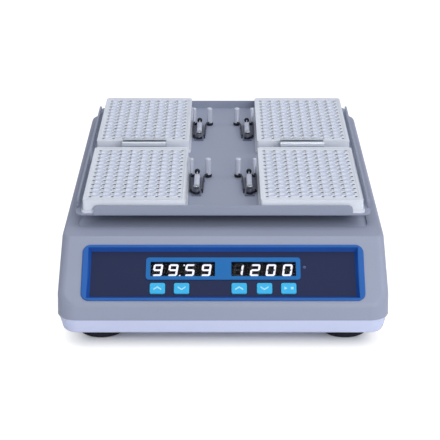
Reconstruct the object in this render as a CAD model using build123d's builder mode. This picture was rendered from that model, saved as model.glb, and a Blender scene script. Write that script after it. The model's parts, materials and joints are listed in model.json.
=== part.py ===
from build123d import *
from math import cos, radians, sin, sqrt
import os

# Microplate shaker: four plates on an orbiting sheet-metal tray over a low console housing.
# The origin is the centre of the bounding box at the underside of the rubber feet.
# +Z is up and the front faces -Y. All sizes are in millimetres.

os.makedirs("parts", exist_ok=True)

# Housing
BODY_W = 260.0              # width at the split line
BODY_L = 353.0              # length at the split line
BODY_R = 16.0               # corner radius in plan
BODY_DRAFT = 1.9            # degrees that the cover's walls lean in
COVER_WALL = 2.5
COVER_TOP_Z = 74.5
TOP_PLATE_T = 4.0           # the cover's level top, outside the recess
SPLIT_Z = 23.3              # where the cover meets the pan
SLOPE_ANGLE = 39.4          # control face above the horizontal
SLOPE_TOP_Y = -129.8        # where the control face meets the level top
SLOPE_R = 7.5               # rounding round the control face
TOP_EDGE_R = 3.0
RECESS_W = 234.0            # shallow recess under the tray
RECESS_L = 274.0
RECESS_DEPTH = 1.5
RECESS_R = 6.0
RECESS_EDGE_R = 0.6

# Bottom pan
PAN_Z = 10.0
PAN_FLOOR = 2.5
PAN_WALL = 2.5
PAN_DRAFT = 14.0
PAN_INSET = 0.8             # the pan's rim lies inside the cover's edge
PAN_EDGE_R = 3.0
LIP_H = 2.0                 # tongue that centres the cover on the pan
LIP_T = 1.2
LIP_GAP = 0.15
LIP_ROOT = 1.5
BOSS_D = 10.0
BOSS_ROOT = 1.0             # how far bosses and posts sink into what carries them

# Feet
FOOT_D = 38.5
FOOT_H = PAN_Z
FOOT_X = 97.0
FOOT_Y = 142.2
FOOT_EDGE_R = 2.0
FOOT_COUNTER_D = 10.0
FOOT_COUNTER_DEPTH = 6.0

# Screws, each with a flat cross-slotted head
SCREW_D = 4.0
SCREW_HEAD_D = 7.0
SCREW_HEAD_H = 2.4
SLOT_L = 3.6
SLOT_W = 0.9
SLOT_DEPTH = 1.2
SMALL_SLOT = 0.5            # share of the full slot's size in a small screw's head
SMALL_SCREW_D = 2.0
SMALL_HEAD_D = 3.2
SMALL_HEAD_H = 1.2
SCREW_GAP = 0.2             # radial room for a shank in a clearance hole
FOOT_SCREW_L = 11.0
CASE_SCREW_L = 20.0
CASE_SCREW_X = 118.0
CASE_SCREW_YS = (-105.0, 0.0, 105.0)

# Control face, measured on the slope: x across, y up the slope, depth along its normal
FACE_DOWN = 32.1            # frame centre, down the slope from its top edge
FRAME_W = 221.5
FRAME_H = 48.6
FRAME_R = 6.5
FRAME_PROUD = 1.0
FRAME_BACK = 2.5
FRAME_SILL_W = 208.0        # clear opening where the bevel ends
FRAME_SILL_H = 39.2
FRAME_BEVEL = 2.6
FRAME_EDGE_R = 0.6
PLUG_MARGIN = 2.2           # the frame's outer band beyond its plug
PLUG_R = 3.8
PLUG_GAP = 0.2
PANEL_W = 216.4
PANEL_H = 43.6
PANEL_T = 2.0
PANEL_SCREW_X = 106.2
PANEL_SCREW_Y = 15.0
PANEL_SCREW_D = 1.6
PANEL_HEAD_D = 2.8
PANEL_SCREW_BITE = 1.8      # how far the panel screws reach into the frame
SURROUND_W = 121.5
SURROUND_H = 19.3
SURROUND_T = 0.6
SURROUND_R = 2.5
SURROUND_X = 0.15
SURROUND_Y = 4.6
WINDOW_W = 50.6
WINDOW_H = 12.4
WINDOW_T = 1.4
WINDOW_SINK = 0.2           # lens below the panel's front
WINDOW_GAP = 0.1
WINDOW_XS = (-31.7, 31.9)
WINDOW_Y = 4.3
KEY_W = 12.1
KEY_H = 9.4
KEY_R = 1.6
KEY_EDGE_R = 0.5
KEY_Y = -12.6
KEY_PROUD = 0.8
KEY_TRAVEL = 0.4
KEY_GAP = 0.3
KEY_FLANGE = 0.8
KEY_FLANGE_T = 0.8
KEY_SLIDE = 0.1             # between a key's flange and the panel's back
KEY_STEM_D = 4.0
KEYS = (
    ("key_time_up", -51.3),
    ("key_time_down", -32.4),
    ("key_speed_up", 12.6),
    ("key_speed_down", 32.4),
    ("key_start_stop", 51.3),
)
LAMP_D = 3.0
LAMP_X = 63.9
LAMP_Y = 6.0
LAMP_PROUD = 0.6
LAMP_EDGE_R = 1.0
BOARD_W = 206.0
BOARD_H = 36.0
BOARD_T = 1.6
BOARD_BACK = 9.0            # board's front behind the panel's front
BOARD_POST_D = 5.0
BOARD_POST_X = 96.0
BOARD_POST_Y = 13.0
BOARD_SCREW_L = 5.0
SWITCH_W = 6.0
SWITCH_BODY_H = 2.2
SWITCH_CAP_D = 3.4
SWITCH_SPARE = 0.1          # left between a pressed key and its switch

# Control board and ribbon cable
CONTROL_X = -38.0
CONTROL_Y = -112.0
CONTROL_W = 120.0
CONTROL_L = 54.0
CONTROL_T = 1.6
CONTROL_Z = 22.0
CONTROL_EDGE = 5.0
CONTROL_POST_D = 7.0
CONTROL_SCREW_L = 7.0
RIBBON_W = 20.0
RIBBON_T = 0.8
RIBBON_R = 2.5
RIBBON_LOW = -6.0           # where it leaves the display board, up the slope
RIBBON_Y = -133.0           # where it meets the control board
RIBBON_LEAD = 8.0

# Tray
TRAY_Y = 26.5
TRAY_W = 238.0
TRAY_L = 272.0
TRAY_T = 1.5
TRAY_FLOOR_Z = 84.85        # upper face of the tray floor
TRAY_R = 6.0
FLANGE_H = 7.2              # above the tray floor
FLANGE_NOTCH = 14.6         # open corner beside each flange
FLANGE_END_R = 3.5
BEND_OUT_R = 1.3
BEND_IN_R = 0.35

# Microplates
PLATE_W = 85.48
PLATE_L = 127.76
PLATE_H = 11.0
PLATE_X = 71.7
PLATE_Y = 70.2              # from the tray's centre
PLATE_SKIRT_H = 2.5
PLATE_SKIRT_IN = 1.4        # upper walls stand inside the skirt
PLATE_R = 3.2
PLATE_CHAMFER = 5.0
PLATE_WALL = 1.3
PLATE_DECK = 1.2
PLATE_RIM_H = 0.4           # well rims and the outer edge stand above the deck
PLATE_RIM_W = 2.6           # width of the raised outer edge
EYE_D = 2.6                 # openings between the wells
PLATE_FLOAT = 0.02          # plates stand this far off the tray floor
WELL_PITCH = 9.0
WELL_NX = 8
WELL_NY = 12
WELL_D = 6.9
WELL_OD = 8.5
WELL_DEPTH = 8.6
WELL_FLOOR = 0.9

# Centre clips: folded spring leaves between the front and rear plates
CLIP_X = 70.0
CLIP_L = 38.6
CLIP_T = 0.8
CLIP_BASE = 4.0
CLIP_BULGE = 5.6
CLIP_BULGE_H = 7.0
CLIP_NECK = 5.4
CLIP_TOP_H = 15.2
CLIP_CURL = 2.4
CLIP_BEND_R = 1.4
CLIP_WAIST_R = 4.2
CLIP_ROLL_R = 1.1
RIVET_D = 3.0
RIVET_HEAD_D = 4.6
RIVET_HEAD_H = 0.8
CLIP_RIVET_X = 12.0

# Side clamps, measured from each clamp's centre: u towards the plate, v towards the rear
CLAMP_X = 22.2
CLAMP_Y = 68.0
CLAMP_SHEET = 1.0
CLAMP_HALF = 6.2
CLAMP_NOSE_HALF = 4.0
CLAMP_REAR_HALF = 4.3
CLAMP_FRONT = -29.0
CLAMP_NOSE = -24.0
CLAMP_FLARE = -12.0
CLAMP_SHOULDER = 6.0
CLAMP_REAR = 12.5
RIB_HALF = 2.35
RIB_FRONT = -17.0
RIB_H = 4.0
RIB_R = 1.6
RIB_DRAFT = 4.0
PIVOT_V = -24.5
PIVOT_D = 3.0
PIVOT_TOP = 7.0
PIVOT_HEAD_D = 5.0
PIVOT_HEAD_H = 1.0
PIVOT_GAP = 0.05
HUB_D = 6.0
HUB_LOW = 1.2
HUB_T = 1.2
ARM_T = 1.2                 # arms of square wire
ARM_LOW = 2.6
ARM_TOP = 3.8
ARM_TOE = (4.6, -22.2)
ARM_KNEE = (4.9, -18.5)
ARM_WAIST = (5.9, 8.0)
ARM_PROP_L = 4.0            # prop under the fixed arm
FINGER_V = 16.5             # upright finger posts on the ends of the arms
FINGER_TOP = 16.9
FINGER_EDGE_R = 1.4
FIXED_FINGER_U = 9.4
FIXED_FINGER_D = 5.1
LEVER_FINGER_U = 4.65
LEVER_FINGER_D = 3.6
PAD_V = 16.2                # round rubber pads under the fingers
PAD_LOW = 0.2
PAD_TOP = 2.4
PAD_EDGE_R = 0.5
FIXED_PAD_D = 6.4
LEVER_PAD_U = 4.3
LEVER_PAD_D = 4.2
BALL_D = 4.8
BALL_V = 21.0
BALL_W = 3.1                # height of the ball's centre above the tray floor
NECK_D = 1.2
SPRING_D = 6.0
SPRING_WIRE = 0.8
SPRING_TURNS = 3
SPRING_PITCH = 0.9

# Drive
ORBIT_R = 1.5               # crank throw, half the orbit's diameter
CHASSIS_W = 190.0
CHASSIS_L = 216.0
CHASSIS_T = 2.5
CHASSIS_Z = 18.0
CHASSIS_Y = 34.0
CHASSIS_SCREW_X = 86.0
CHASSIS_SCREW_Y = 98.0
CHASSIS_SCREW_L = 7.0
CHASSIS_R = 8.0
HOUSING_D = 36.0
HOUSING_H = 24.0
HOUSING_LIP = 3.0           # step that carries the lower bearing
HOUSING_FLANGE_D = 50.0
HOUSING_FLANGE_T = 4.0
HOUSING_CHAMFER = 1.0
HOUSING_SCREW_R = 21.4      # three screws through each housing's flange
HOUSING_SCREW_D = 3.0
HOUSING_HEAD_D = 5.4
HOUSING_HEAD_H = 1.8
HOUSING_SCREW_L = 6.0
BEARING_D = 22.0
SHAFT_D = 8.0
BEARING_T = 7.0
BEARING_GROOVE = 0.6
BEARING_RACE = 2.2
BEARING_SPACE = 14.0        # between the two bearings' lower faces
BEARING_GAP = 0.05          # radial running clearance of a shaft in its bearings
IDLER_SPOTS = ((-60.0, -74.5), (60.0, -74.5), (0.0, 92.0))
IDLER_PIN_GAP = 0.15        # idler pins run free in the carriage
PULLEY_D = 60.0
PULLEY_H = 7.0
PULLEY_RISE = 1.0           # above the bearing housings
PULLEY_HOLES = 6
PULLEY_HOLE_D = 7.0
PULLEY_HOLE_R = 18.75
PULLEY_CHAMFER = 0.5
MOTOR_PULLEY_D = 20.0
MOTOR_X = 48.0
MOTOR_AHEAD = 33.0          # behind the crank's axis
MOTOR_D = 42.0
MOTOR_EDGE_R = 1.5
MOTOR_NECK_D = 12.0
MOTOR_NECK_H = 0.6
MOTOR_SHAFT_D = 5.0
MOTOR_SHAFT_IN = 14.0
MOTOR_SCREW_R = 16.0        # four screws up through the chassis
MOTOR_SCREW_L = 7.0
BELT_W = 6.0
BELT_T = 1.2
BELT_GAP = 0.1
WEIGHT_T = 3.0
WEIGHT_R = 28.0
WEB_D = 16.0
WEB_T = 3.5
PIN_H = 8.5
PIN_CHAMFER = 0.5
CARRIAGE_Z = 58.0
CARRIAGE_T = 7.0
CARRIAGE_BEAM = 40.0
CARRIAGE_W = 176.0
CARRIAGE_R = 6.0
POST_D = 12.0
POST_X = 72.0
POST_Y = 88.0
POST_FOOT_D = 18.0
POST_FOOT_H = 2.0
POST_SPIGOT_D = 8.0
POST_HOLE_GAP = 1.6         # left beside a post at the end of its orbit
COLLAR_T = 1.5
COLLAR_H = 2.5
TRAY_SCREW_D = 5.0
TRAY_SCREW_L = 12.0
TRAY_HEAD_D = 7.6

# Rear fittings
POCKET_X = 62.0
POCKET_W = 84.0
POCKET_H = 26.0
POCKET_Z = 46.0
POCKET_DEPTH = 7.0
POCKET_R = 2.0
ROCKER_X = 84.0
ROCKER_W = 11.0
ROCKER_H = 17.0
ROCKER_RIM = 2.0
ROCKER_RIM_T = 1.2
ROCKER_BODY_L = 14.0
ROCKER_TILT = 7.0           # either side of level
ROCKER_GAP = 0.4
ROCKER_FACE = 3.0           # rocker's face in front of its hinge
ROCKER_BACK = 4.0
ROCKER_SINK = 2.5           # hinge behind the pocket's floor
JACK_X = 40.0
JACK_D = 8.0
JACK_BORE = 5.6
JACK_BORE_L = 9.0
JACK_PIN_D = 2.0
JACK_PROUD = 3.5
JACK_BODY_W = 11.0
JACK_BODY_L = 10.0
JACK_GAP = 0.1
JACK_NUT_W = 12.0
JACK_NUT_T = 2.0

# Heights and spots that follow from the sizes above
SLOPE_SIN = sin(radians(SLOPE_ANGLE))
SLOPE_COS = cos(radians(SLOPE_ANGLE))
AXIS_Y = TRAY_Y - ORBIT_R                # crank axis: the tray rests at the rear of its orbit
RECESS_Z = COVER_TOP_Z - RECESS_DEPTH
INNER_TOP_Z = COVER_TOP_Z - TOP_PLATE_T
PAN_INSIDE_Z = PAN_Z + PAN_FLOOR
CHASSIS_TOP = CHASSIS_Z + CHASSIS_T
HOUSING_TOP = CHASSIS_TOP + HOUSING_H
PULLEY_Z = HOUSING_TOP + PULLEY_RISE
WEIGHT_Z = PULLEY_Z + PULLEY_H
WEB_TOP = WEIGHT_Z + WEB_T
CARRIAGE_TOP = CARRIAGE_Z + CARRIAGE_T
TRAY_Z = TRAY_FLOOR_Z - TRAY_T
PANEL_FRONT = -FRAME_BACK                # depths along the control face's normal
PANEL_BACK = PANEL_FRONT - PANEL_T
BOARD_FRONT = PANEL_FRONT - BOARD_BACK
BOARD_REAR = BOARD_FRONT - BOARD_T
LOWER_BEARING_Z = CHASSIS_TOP + HOUSING_LIP

FACE = Plane(
    origin=(0, SLOPE_TOP_Y - FACE_DOWN * SLOPE_COS, COVER_TOP_Z - FACE_DOWN * SLOPE_SIN),
    x_dir=(1, 0, 0),
    z_dir=(0, -SLOPE_SIN, SLOPE_COS),
)
FACE_OUT = Axis((0, 0, 0), (0, -SLOPE_SIN, SLOPE_COS))

SIDES = (-1, 1)
CASE_SPOTS = [(sx * CASE_SCREW_X, y) for sx in SIDES for y in CASE_SCREW_YS]
FOOT_SPOTS = [(sx * FOOT_X, sy * FOOT_Y) for sx in SIDES for sy in SIDES]
CHASSIS_SPOTS = [(sx * CHASSIS_SCREW_X, CHASSIS_Y + sy * CHASSIS_SCREW_Y) for sx in SIDES for sy in SIDES]
CONTROL_SPOTS = [
    (CONTROL_X + sx * (CONTROL_W / 2 - CONTROL_EDGE), CONTROL_Y + sy * (CONTROL_L / 2 - CONTROL_EDGE))
    for sx in SIDES
    for sy in SIDES
]
BOARD_SPOTS = [(sx * BOARD_POST_X, sy * BOARD_POST_Y) for sx in SIDES for sy in SIDES]
PANEL_SCREW_SPOTS = [(sx * PANEL_SCREW_X, y) for sx in SIDES for y in (-PANEL_SCREW_Y, 0, PANEL_SCREW_Y)]
AXIS_SPOTS = [(0, AXIS_Y)] + [(x, AXIS_Y + y) for x, y in IDLER_SPOTS]
PIN_SPOTS = [(x, y + ORBIT_R) for x, y in AXIS_SPOTS]
POST_SPOTS = [(sx * POST_X, TRAY_Y + sy * POST_Y) for sx in SIDES for sy in SIDES]
POST_HOLES = [(x, y - ORBIT_R) for x, y in POST_SPOTS]
MOTOR_SPOT = (MOTOR_X, AXIS_Y + MOTOR_AHEAD)
MOTOR_SCREW_SPOTS = [
    (MOTOR_SPOT[0] + sx * MOTOR_SCREW_R / sqrt(2), MOTOR_SPOT[1] + sy * MOTOR_SCREW_R / sqrt(2))
    for sx in SIDES
    for sy in SIDES
]
HOUSING_SCREW_SPOTS = [
    (x + HOUSING_SCREW_R * cos(radians(turn)), y + HOUSING_SCREW_R * sin(radians(turn)))
    for x, y in AXIS_SPOTS
    for turn in (90, 210, 330)
]
CLAMP_SPOTS = [(sx, sy) for sy in SIDES for sx in SIDES]


def finish(part, name):
    """Label one finished piece and write it as its own file."""
    part.label = name
    export_step(part, f"parts/{name}.step")


def at_face(depth):
    """The control face's plane at a depth along its normal."""
    return FACE.offset(depth)


def up_from(z):
    """A level plane at height z."""
    return Plane.XY.offset(z)


def rear_plane(inset):
    """The upright plane that lies this far inside the rear end; its normal points forwards."""
    return Plane.XZ.offset(inset - BODY_L / 2)


# Housing
def housing_form(inset, top_z, top_r, slope_r):
    """The cover's closed outer form, or with an inset the space inside its walls."""
    with BuildPart() as form:
        with BuildSketch(up_from(SPLIT_Z)):
            RectangleRounded(BODY_W - 2 * inset, BODY_L - 2 * inset, BODY_R - inset)
        extrude(amount=top_z - SPLIT_Z, taper=BODY_DRAFT)
        run = BODY_L / 2 + SLOPE_TOP_Y + BODY_R
        sink = inset / SLOPE_COS - (COVER_TOP_Z - top_z)
        start_y = SLOPE_TOP_Y + sink * SLOPE_COS / SLOPE_SIN
        with BuildSketch(Plane.YZ):
            with BuildLine():
                Polyline(
                    (start_y, top_z),
                    (start_y, top_z + COVER_TOP_Z),
                    (start_y - run, top_z + COVER_TOP_Z),
                    (start_y - run, top_z - run * SLOPE_SIN / SLOPE_COS),
                    close=True,
                )
            make_face()
        extrude(amount=BODY_W, both=True, mode=Mode.SUBTRACT)
        slope = form.faces().sort_by(FACE_OUT)[-1]
        crest_y = slope.edges().sort_by(Axis.Y)[-1].center().Y
        fillet(slope.edges().filter_by(lambda e: e.center().Y < crest_y - 1), slope_r)
        crown = form.faces().sort_by(Axis.Z)[-1]
        fillet(crown.edges().filter_by(lambda e: e.center().Y > crest_y + 1), top_r)
    return form.part


cover_outer = housing_form(0, COVER_TOP_Z, TOP_EDGE_R, SLOPE_R)
cover_inner = housing_form(COVER_WALL, INNER_TOP_Z, TOP_EDGE_R / 2, SLOPE_R - COVER_WALL)

with BuildPart() as top_cover:
    add(cover_outer)
    add(cover_inner, mode=Mode.SUBTRACT)
    # Shallow recess that the tray hovers over.
    with BuildSketch(up_from(COVER_TOP_Z)):
        with Locations((0, TRAY_Y)):
            RectangleRounded(RECESS_W, RECESS_L, RECESS_R)
    extrude(amount=-RECESS_DEPTH, mode=Mode.SUBTRACT)
    recess_floor = top_cover.faces().filter_by(Axis.Z).filter_by(lambda f: abs(f.center().Z - RECESS_Z) < 0.01)
    fillet(recess_floor.edges(), RECESS_EDGE_R)
    # Bosses for the case screws, and the box behind the rear pocket.
    with BuildSketch(up_from(SPLIT_Z)):
        with Locations(*CASE_SPOTS):
            Circle(BOSS_D / 2)
    extrude(amount=INNER_TOP_Z - SPLIT_Z + BOSS_ROOT)
    with BuildSketch(rear_plane(COVER_WALL - BOSS_ROOT)):
        with Locations((POCKET_X, POCKET_Z)):
            Rectangle(POCKET_W + 2 * COVER_WALL, POCKET_H + 2 * COVER_WALL)
    extrude(amount=POCKET_DEPTH + BOSS_ROOT)
    with BuildSketch(rear_plane(0)):
        with Locations((POCKET_X, POCKET_Z)):
            RectangleRounded(POCKET_W, POCKET_H, POCKET_R)
    extrude(amount=POCKET_DEPTH, mode=Mode.SUBTRACT)
    # Collared holes for the posts.
    with BuildSketch(up_from(RECESS_Z)):
        with Locations(*POST_HOLES):
            Circle(POST_D / 2 + ORBIT_R + POST_HOLE_GAP + COLLAR_T)
    extrude(amount=COLLAR_H)
    with BuildSketch(up_from(INNER_TOP_Z)):
        with Locations(*POST_HOLES):
            Circle(POST_D / 2 + ORBIT_R + POST_HOLE_GAP)
    extrude(amount=COVER_TOP_Z + COLLAR_H - INNER_TOP_Z, mode=Mode.SUBTRACT)
    # Holes for the case screws.
    with BuildSketch(up_from(SPLIT_Z)):
        with Locations(*CASE_SPOTS):
            Circle(SCREW_D / 2)
    extrude(amount=CASE_SCREW_L, mode=Mode.SUBTRACT)
    # Opening for the frame's plug, then the holes for the rear rocker and the power jack.
    with BuildSketch(at_face(FRAME_PROUD)):
        RectangleRounded(
            FRAME_W - 2 * PLUG_MARGIN + 2 * PLUG_GAP, FRAME_H - 2 * PLUG_MARGIN + 2 * PLUG_GAP, PLUG_R + PLUG_GAP
        )
    extrude(amount=-(COVER_WALL + 2 * FRAME_PROUD), mode=Mode.SUBTRACT)
    with BuildSketch(rear_plane(0)):
        with Locations((ROCKER_X, POCKET_Z)):
            Rectangle(ROCKER_W + 2 * ROCKER_RIM, ROCKER_H + 2 * ROCKER_RIM)
        with Locations((JACK_X, POCKET_Z)):
            Circle(JACK_D / 2 + JACK_GAP)
    extrude(amount=POCKET_DEPTH + COVER_WALL + BOSS_ROOT, mode=Mode.SUBTRACT)
finish(top_cover.part, "top_cover")

with BuildPart() as bottom_pan:
    with BuildSketch(up_from(SPLIT_Z)):
        RectangleRounded(BODY_W - 2 * PAN_INSET, BODY_L - 2 * PAN_INSET, BODY_R - PAN_INSET)
    extrude(amount=-(SPLIT_Z - PAN_Z), taper=PAN_DRAFT)
    fillet(bottom_pan.faces().sort_by(Axis.Z)[0].edges(), PAN_EDGE_R)
    rim_in = PAN_INSET + PAN_WALL
    with BuildSketch(up_from(SPLIT_Z)):
        RectangleRounded(BODY_W - 2 * rim_in, BODY_L - 2 * rim_in, BODY_R - rim_in)
    extrude(amount=-(SPLIT_Z - PAN_INSIDE_Z), taper=PAN_DRAFT, mode=Mode.SUBTRACT)
    # Tongue inside the cover, left open beside the cover's screw bosses.
    lip_in = COVER_WALL + LIP_GAP
    with BuildSketch(up_from(SPLIT_Z - LIP_ROOT)):
        RectangleRounded(BODY_W - 2 * lip_in, BODY_L - 2 * lip_in, BODY_R - lip_in)
        lip_far = lip_in + LIP_T
        RectangleRounded(BODY_W - 2 * lip_far, BODY_L - 2 * lip_far, BODY_R - lip_far, mode=Mode.SUBTRACT)
    extrude(amount=LIP_ROOT + LIP_H)
    with BuildSketch(up_from(SPLIT_Z)):
        with Locations(*CASE_SPOTS):
            Rectangle(2 * BOSS_D, BOSS_D + 2 * LIP_T)
    extrude(amount=LIP_H, mode=Mode.SUBTRACT)
    # Bosses, from the floor up to what each carries.
    with BuildSketch(up_from(PAN_INSIDE_Z - BOSS_ROOT)):
        with Locations(*CASE_SPOTS):
            Circle(BOSS_D / 2)
    extrude(amount=SPLIT_Z - PAN_INSIDE_Z + BOSS_ROOT)
    with BuildSketch(up_from(PAN_INSIDE_Z - BOSS_ROOT)):
        with Locations(*FOOT_SPOTS):
            Circle(BOSS_D / 2)
    extrude(amount=CHASSIS_Z - PAN_INSIDE_Z)
    with BuildSketch(up_from(PAN_INSIDE_Z - BOSS_ROOT)):
        with Locations(*CHASSIS_SPOTS):
            Circle(BOSS_D / 2)
    extrude(amount=CHASSIS_Z - PAN_INSIDE_Z + BOSS_ROOT)
    with BuildSketch(up_from(PAN_INSIDE_Z - BOSS_ROOT)):
        with Locations(*CONTROL_SPOTS):
            Circle(CONTROL_POST_D / 2)
    extrude(amount=CONTROL_Z - PAN_INSIDE_Z + BOSS_ROOT)
    # Screw holes from below and from above.
    with BuildSketch(up_from(PAN_Z)):
        with Locations(*CASE_SPOTS):
            Circle(SCREW_D / 2 + SCREW_GAP)
        with Locations(*FOOT_SPOTS):
            Circle(SCREW_D / 2)
    extrude(amount=SPLIT_Z - PAN_Z, mode=Mode.SUBTRACT)
    with BuildSketch(up_from(PAN_Z)):
        with Locations(*CASE_SPOTS):
            Circle(SCREW_HEAD_D / 2 + SCREW_GAP)
    extrude(amount=SCREW_HEAD_H, mode=Mode.SUBTRACT)
    with BuildSketch(up_from(CHASSIS_Z)):
        with Locations(*CHASSIS_SPOTS):
            Circle(SCREW_D / 2)
    extrude(amount=CHASSIS_T - CHASSIS_SCREW_L, mode=Mode.SUBTRACT)
    with BuildSketch(up_from(CONTROL_Z)):
        with Locations(*CONTROL_SPOTS):
            Circle(SMALL_SCREW_D / 2)
    extrude(amount=CONTROL_T - CONTROL_SCREW_L, mode=Mode.SUBTRACT)
finish(bottom_pan.part, "bottom_pan")

with BuildPart() as rubber_feet:
    with BuildSketch(Plane.XY):
        with Locations(*FOOT_SPOTS):
            Circle(FOOT_D / 2)
    extrude(amount=FOOT_H)
    fillet(rubber_feet.edges().group_by(Axis.Z)[0], FOOT_EDGE_R)
    with BuildSketch(Plane.XY):
        with Locations(*FOOT_SPOTS):
            Circle(SCREW_D / 2 + SCREW_GAP)
    extrude(amount=FOOT_H, mode=Mode.SUBTRACT)
    with BuildSketch(Plane.XY):
        with Locations(*FOOT_SPOTS):
            Circle(FOOT_COUNTER_D / 2)
    extrude(amount=FOOT_COUNTER_DEPTH, mode=Mode.SUBTRACT)
finish(rubber_feet.part, "rubber_feet")


def screws(spots, seat, shank_l, shank_d, head_d, head_h, slot):
    """Cross-slotted screws: heads behind the seat plane, shanks along its normal."""
    with BuildPart() as made:
        with BuildSketch(seat):
            with Locations(*spots):
                Circle(head_d / 2)
        extrude(amount=-head_h)
        with BuildSketch(seat):
            with Locations(*spots):
                Circle(shank_d / 2)
        extrude(amount=shank_l)
        with BuildSketch(seat.offset(-head_h)):
            with Locations(*spots):
                Rectangle(slot * SLOT_L, slot * SLOT_W)
                Rectangle(slot * SLOT_W, slot * SLOT_L)
        extrude(amount=slot * SLOT_DEPTH, mode=Mode.SUBTRACT)
    return made.part


def downward(z):
    """A level plane at height z that faces down, so that its y is turned over."""
    return Plane(origin=(0, 0, z), x_dir=(1, 0, 0), z_dir=(0, 0, -1))


def turned(spots):
    """The same spots as seen by a downward plane."""
    return [(x, -y) for x, y in spots]


foot_screws = screws(FOOT_SPOTS, up_from(FOOT_COUNTER_DEPTH), FOOT_SCREW_L, SCREW_D, SCREW_HEAD_D, SCREW_HEAD_H, 1)
case_screws = screws(CASE_SPOTS, up_from(PAN_Z + SCREW_HEAD_H), CASE_SCREW_L, SCREW_D, SCREW_HEAD_D, SCREW_HEAD_H, 1)
with BuildPart() as pan_screws:
    add(foot_screws)
    add(case_screws)
finish(pan_screws.part, "pan_screws")

# Control face
PLUG_W = FRAME_W - 2 * PLUG_MARGIN
PLUG_H = FRAME_H - 2 * PLUG_MARGIN

with BuildPart() as panel_frame:
    with BuildSketch(at_face(0)):
        RectangleRounded(FRAME_W, FRAME_H, FRAME_R)
    extrude(amount=FRAME_PROUD)
    fillet(panel_frame.faces().sort_by(FACE_OUT)[-1].edges(), FRAME_EDGE_R)
    with BuildSketch(at_face(0)):
        RectangleRounded(PLUG_W, PLUG_H, PLUG_R)
    extrude(amount=-FRAME_BACK)
    with BuildSketch(at_face(-FRAME_BACK)):
        Rectangle(FRAME_SILL_W, FRAME_SILL_H)
    with BuildSketch(at_face(FRAME_PROUD)):
        Rectangle(FRAME_SILL_W + 2 * FRAME_BEVEL, FRAME_SILL_H + 2 * FRAME_BEVEL)
    loft(mode=Mode.SUBTRACT)
    with BuildSketch(at_face(-FRAME_BACK)):
        with Locations(*PANEL_SCREW_SPOTS):
            Circle(PANEL_SCREW_D / 2)
    extrude(amount=PANEL_SCREW_BITE, mode=Mode.SUBTRACT)
finish(panel_frame.part, "panel_frame")

with BuildPart() as control_panel:
    with BuildSketch(at_face(PANEL_FRONT)):
        Rectangle(PANEL_W, PANEL_H)
        with Locations(*[(x, WINDOW_Y) for x in WINDOW_XS]):
            Rectangle(WINDOW_W + 2 * WINDOW_GAP, WINDOW_H + 2 * WINDOW_GAP, mode=Mode.SUBTRACT)
        with Locations(*[(x, KEY_Y) for name, x in KEYS]):
            RectangleRounded(KEY_W + 2 * KEY_GAP, KEY_H + 2 * KEY_GAP, KEY_R + KEY_GAP, mode=Mode.SUBTRACT)
        with Locations((LAMP_X, LAMP_Y)):
            Circle(LAMP_D / 2 + WINDOW_GAP, mode=Mode.SUBTRACT)
        with Locations(*PANEL_SCREW_SPOTS):
            Circle(PANEL_SCREW_D / 2 + SCREW_GAP, mode=Mode.SUBTRACT)
    extrude(amount=-PANEL_T)
    with BuildSketch(at_face(PANEL_BACK)):
        with Locations(*BOARD_SPOTS):
            Circle(BOARD_POST_D / 2)
    extrude(amount=BOARD_FRONT - PANEL_BACK)
    with BuildSketch(at_face(BOARD_FRONT)):
        with Locations(*BOARD_SPOTS):
            Circle(SMALL_SCREW_D / 2)
    extrude(amount=BOARD_SCREW_L - BOARD_T, mode=Mode.SUBTRACT)
finish(control_panel.part, "control_panel")

with BuildPart() as display_surround:
    with BuildSketch(at_face(PANEL_FRONT)):
        with Locations((SURROUND_X, SURROUND_Y)):
            RectangleRounded(SURROUND_W, SURROUND_H, SURROUND_R)
        with Locations(*[(x, WINDOW_Y) for x in WINDOW_XS]):
            Rectangle(WINDOW_W + 2 * WINDOW_GAP, WINDOW_H + 2 * WINDOW_GAP, mode=Mode.SUBTRACT)
    extrude(amount=SURROUND_T)
finish(display_surround.part, "display_surround")

LENS_BACK = PANEL_FRONT - WINDOW_SINK - WINDOW_T

with BuildPart() as display_windows:
    with BuildSketch(at_face(LENS_BACK)):
        with Locations(*[(x, WINDOW_Y) for x in WINDOW_XS]):
            Rectangle(WINDOW_W, WINDOW_H)
    extrude(amount=WINDOW_T)
    fillet(display_windows.faces().sort_by(FACE_OUT)[-2:].edges(), WINDOW_SINK)
finish(display_windows.part, "display_windows")

with BuildPart() as digit_displays:
    with BuildSketch(at_face(BOARD_FRONT)):
        with Locations(*[(x, WINDOW_Y) for x in WINDOW_XS]):
            Rectangle(WINDOW_W, WINDOW_H)
    extrude(amount=LENS_BACK - WINDOW_GAP - BOARD_FRONT)
finish(digit_displays.part, "digit_displays")

with BuildPart() as run_lamp:
    with BuildSketch(at_face(BOARD_FRONT)):
        with Locations((LAMP_X, LAMP_Y)):
            Circle(LAMP_D / 2)
    extrude(amount=PANEL_FRONT + LAMP_PROUD - BOARD_FRONT)
    fillet(run_lamp.edges().sort_by(FACE_OUT)[-1], LAMP_EDGE_R)
finish(run_lamp.part, "run_lamp")

with BuildPart() as display_board:
    with BuildSketch(at_face(BOARD_FRONT)):
        Rectangle(BOARD_W, BOARD_H)
        with Locations(*BOARD_SPOTS):
            Circle(SMALL_SCREW_D / 2 + SCREW_GAP, mode=Mode.SUBTRACT)
    extrude(amount=-BOARD_T)
finish(display_board.part, "display_board")

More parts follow.
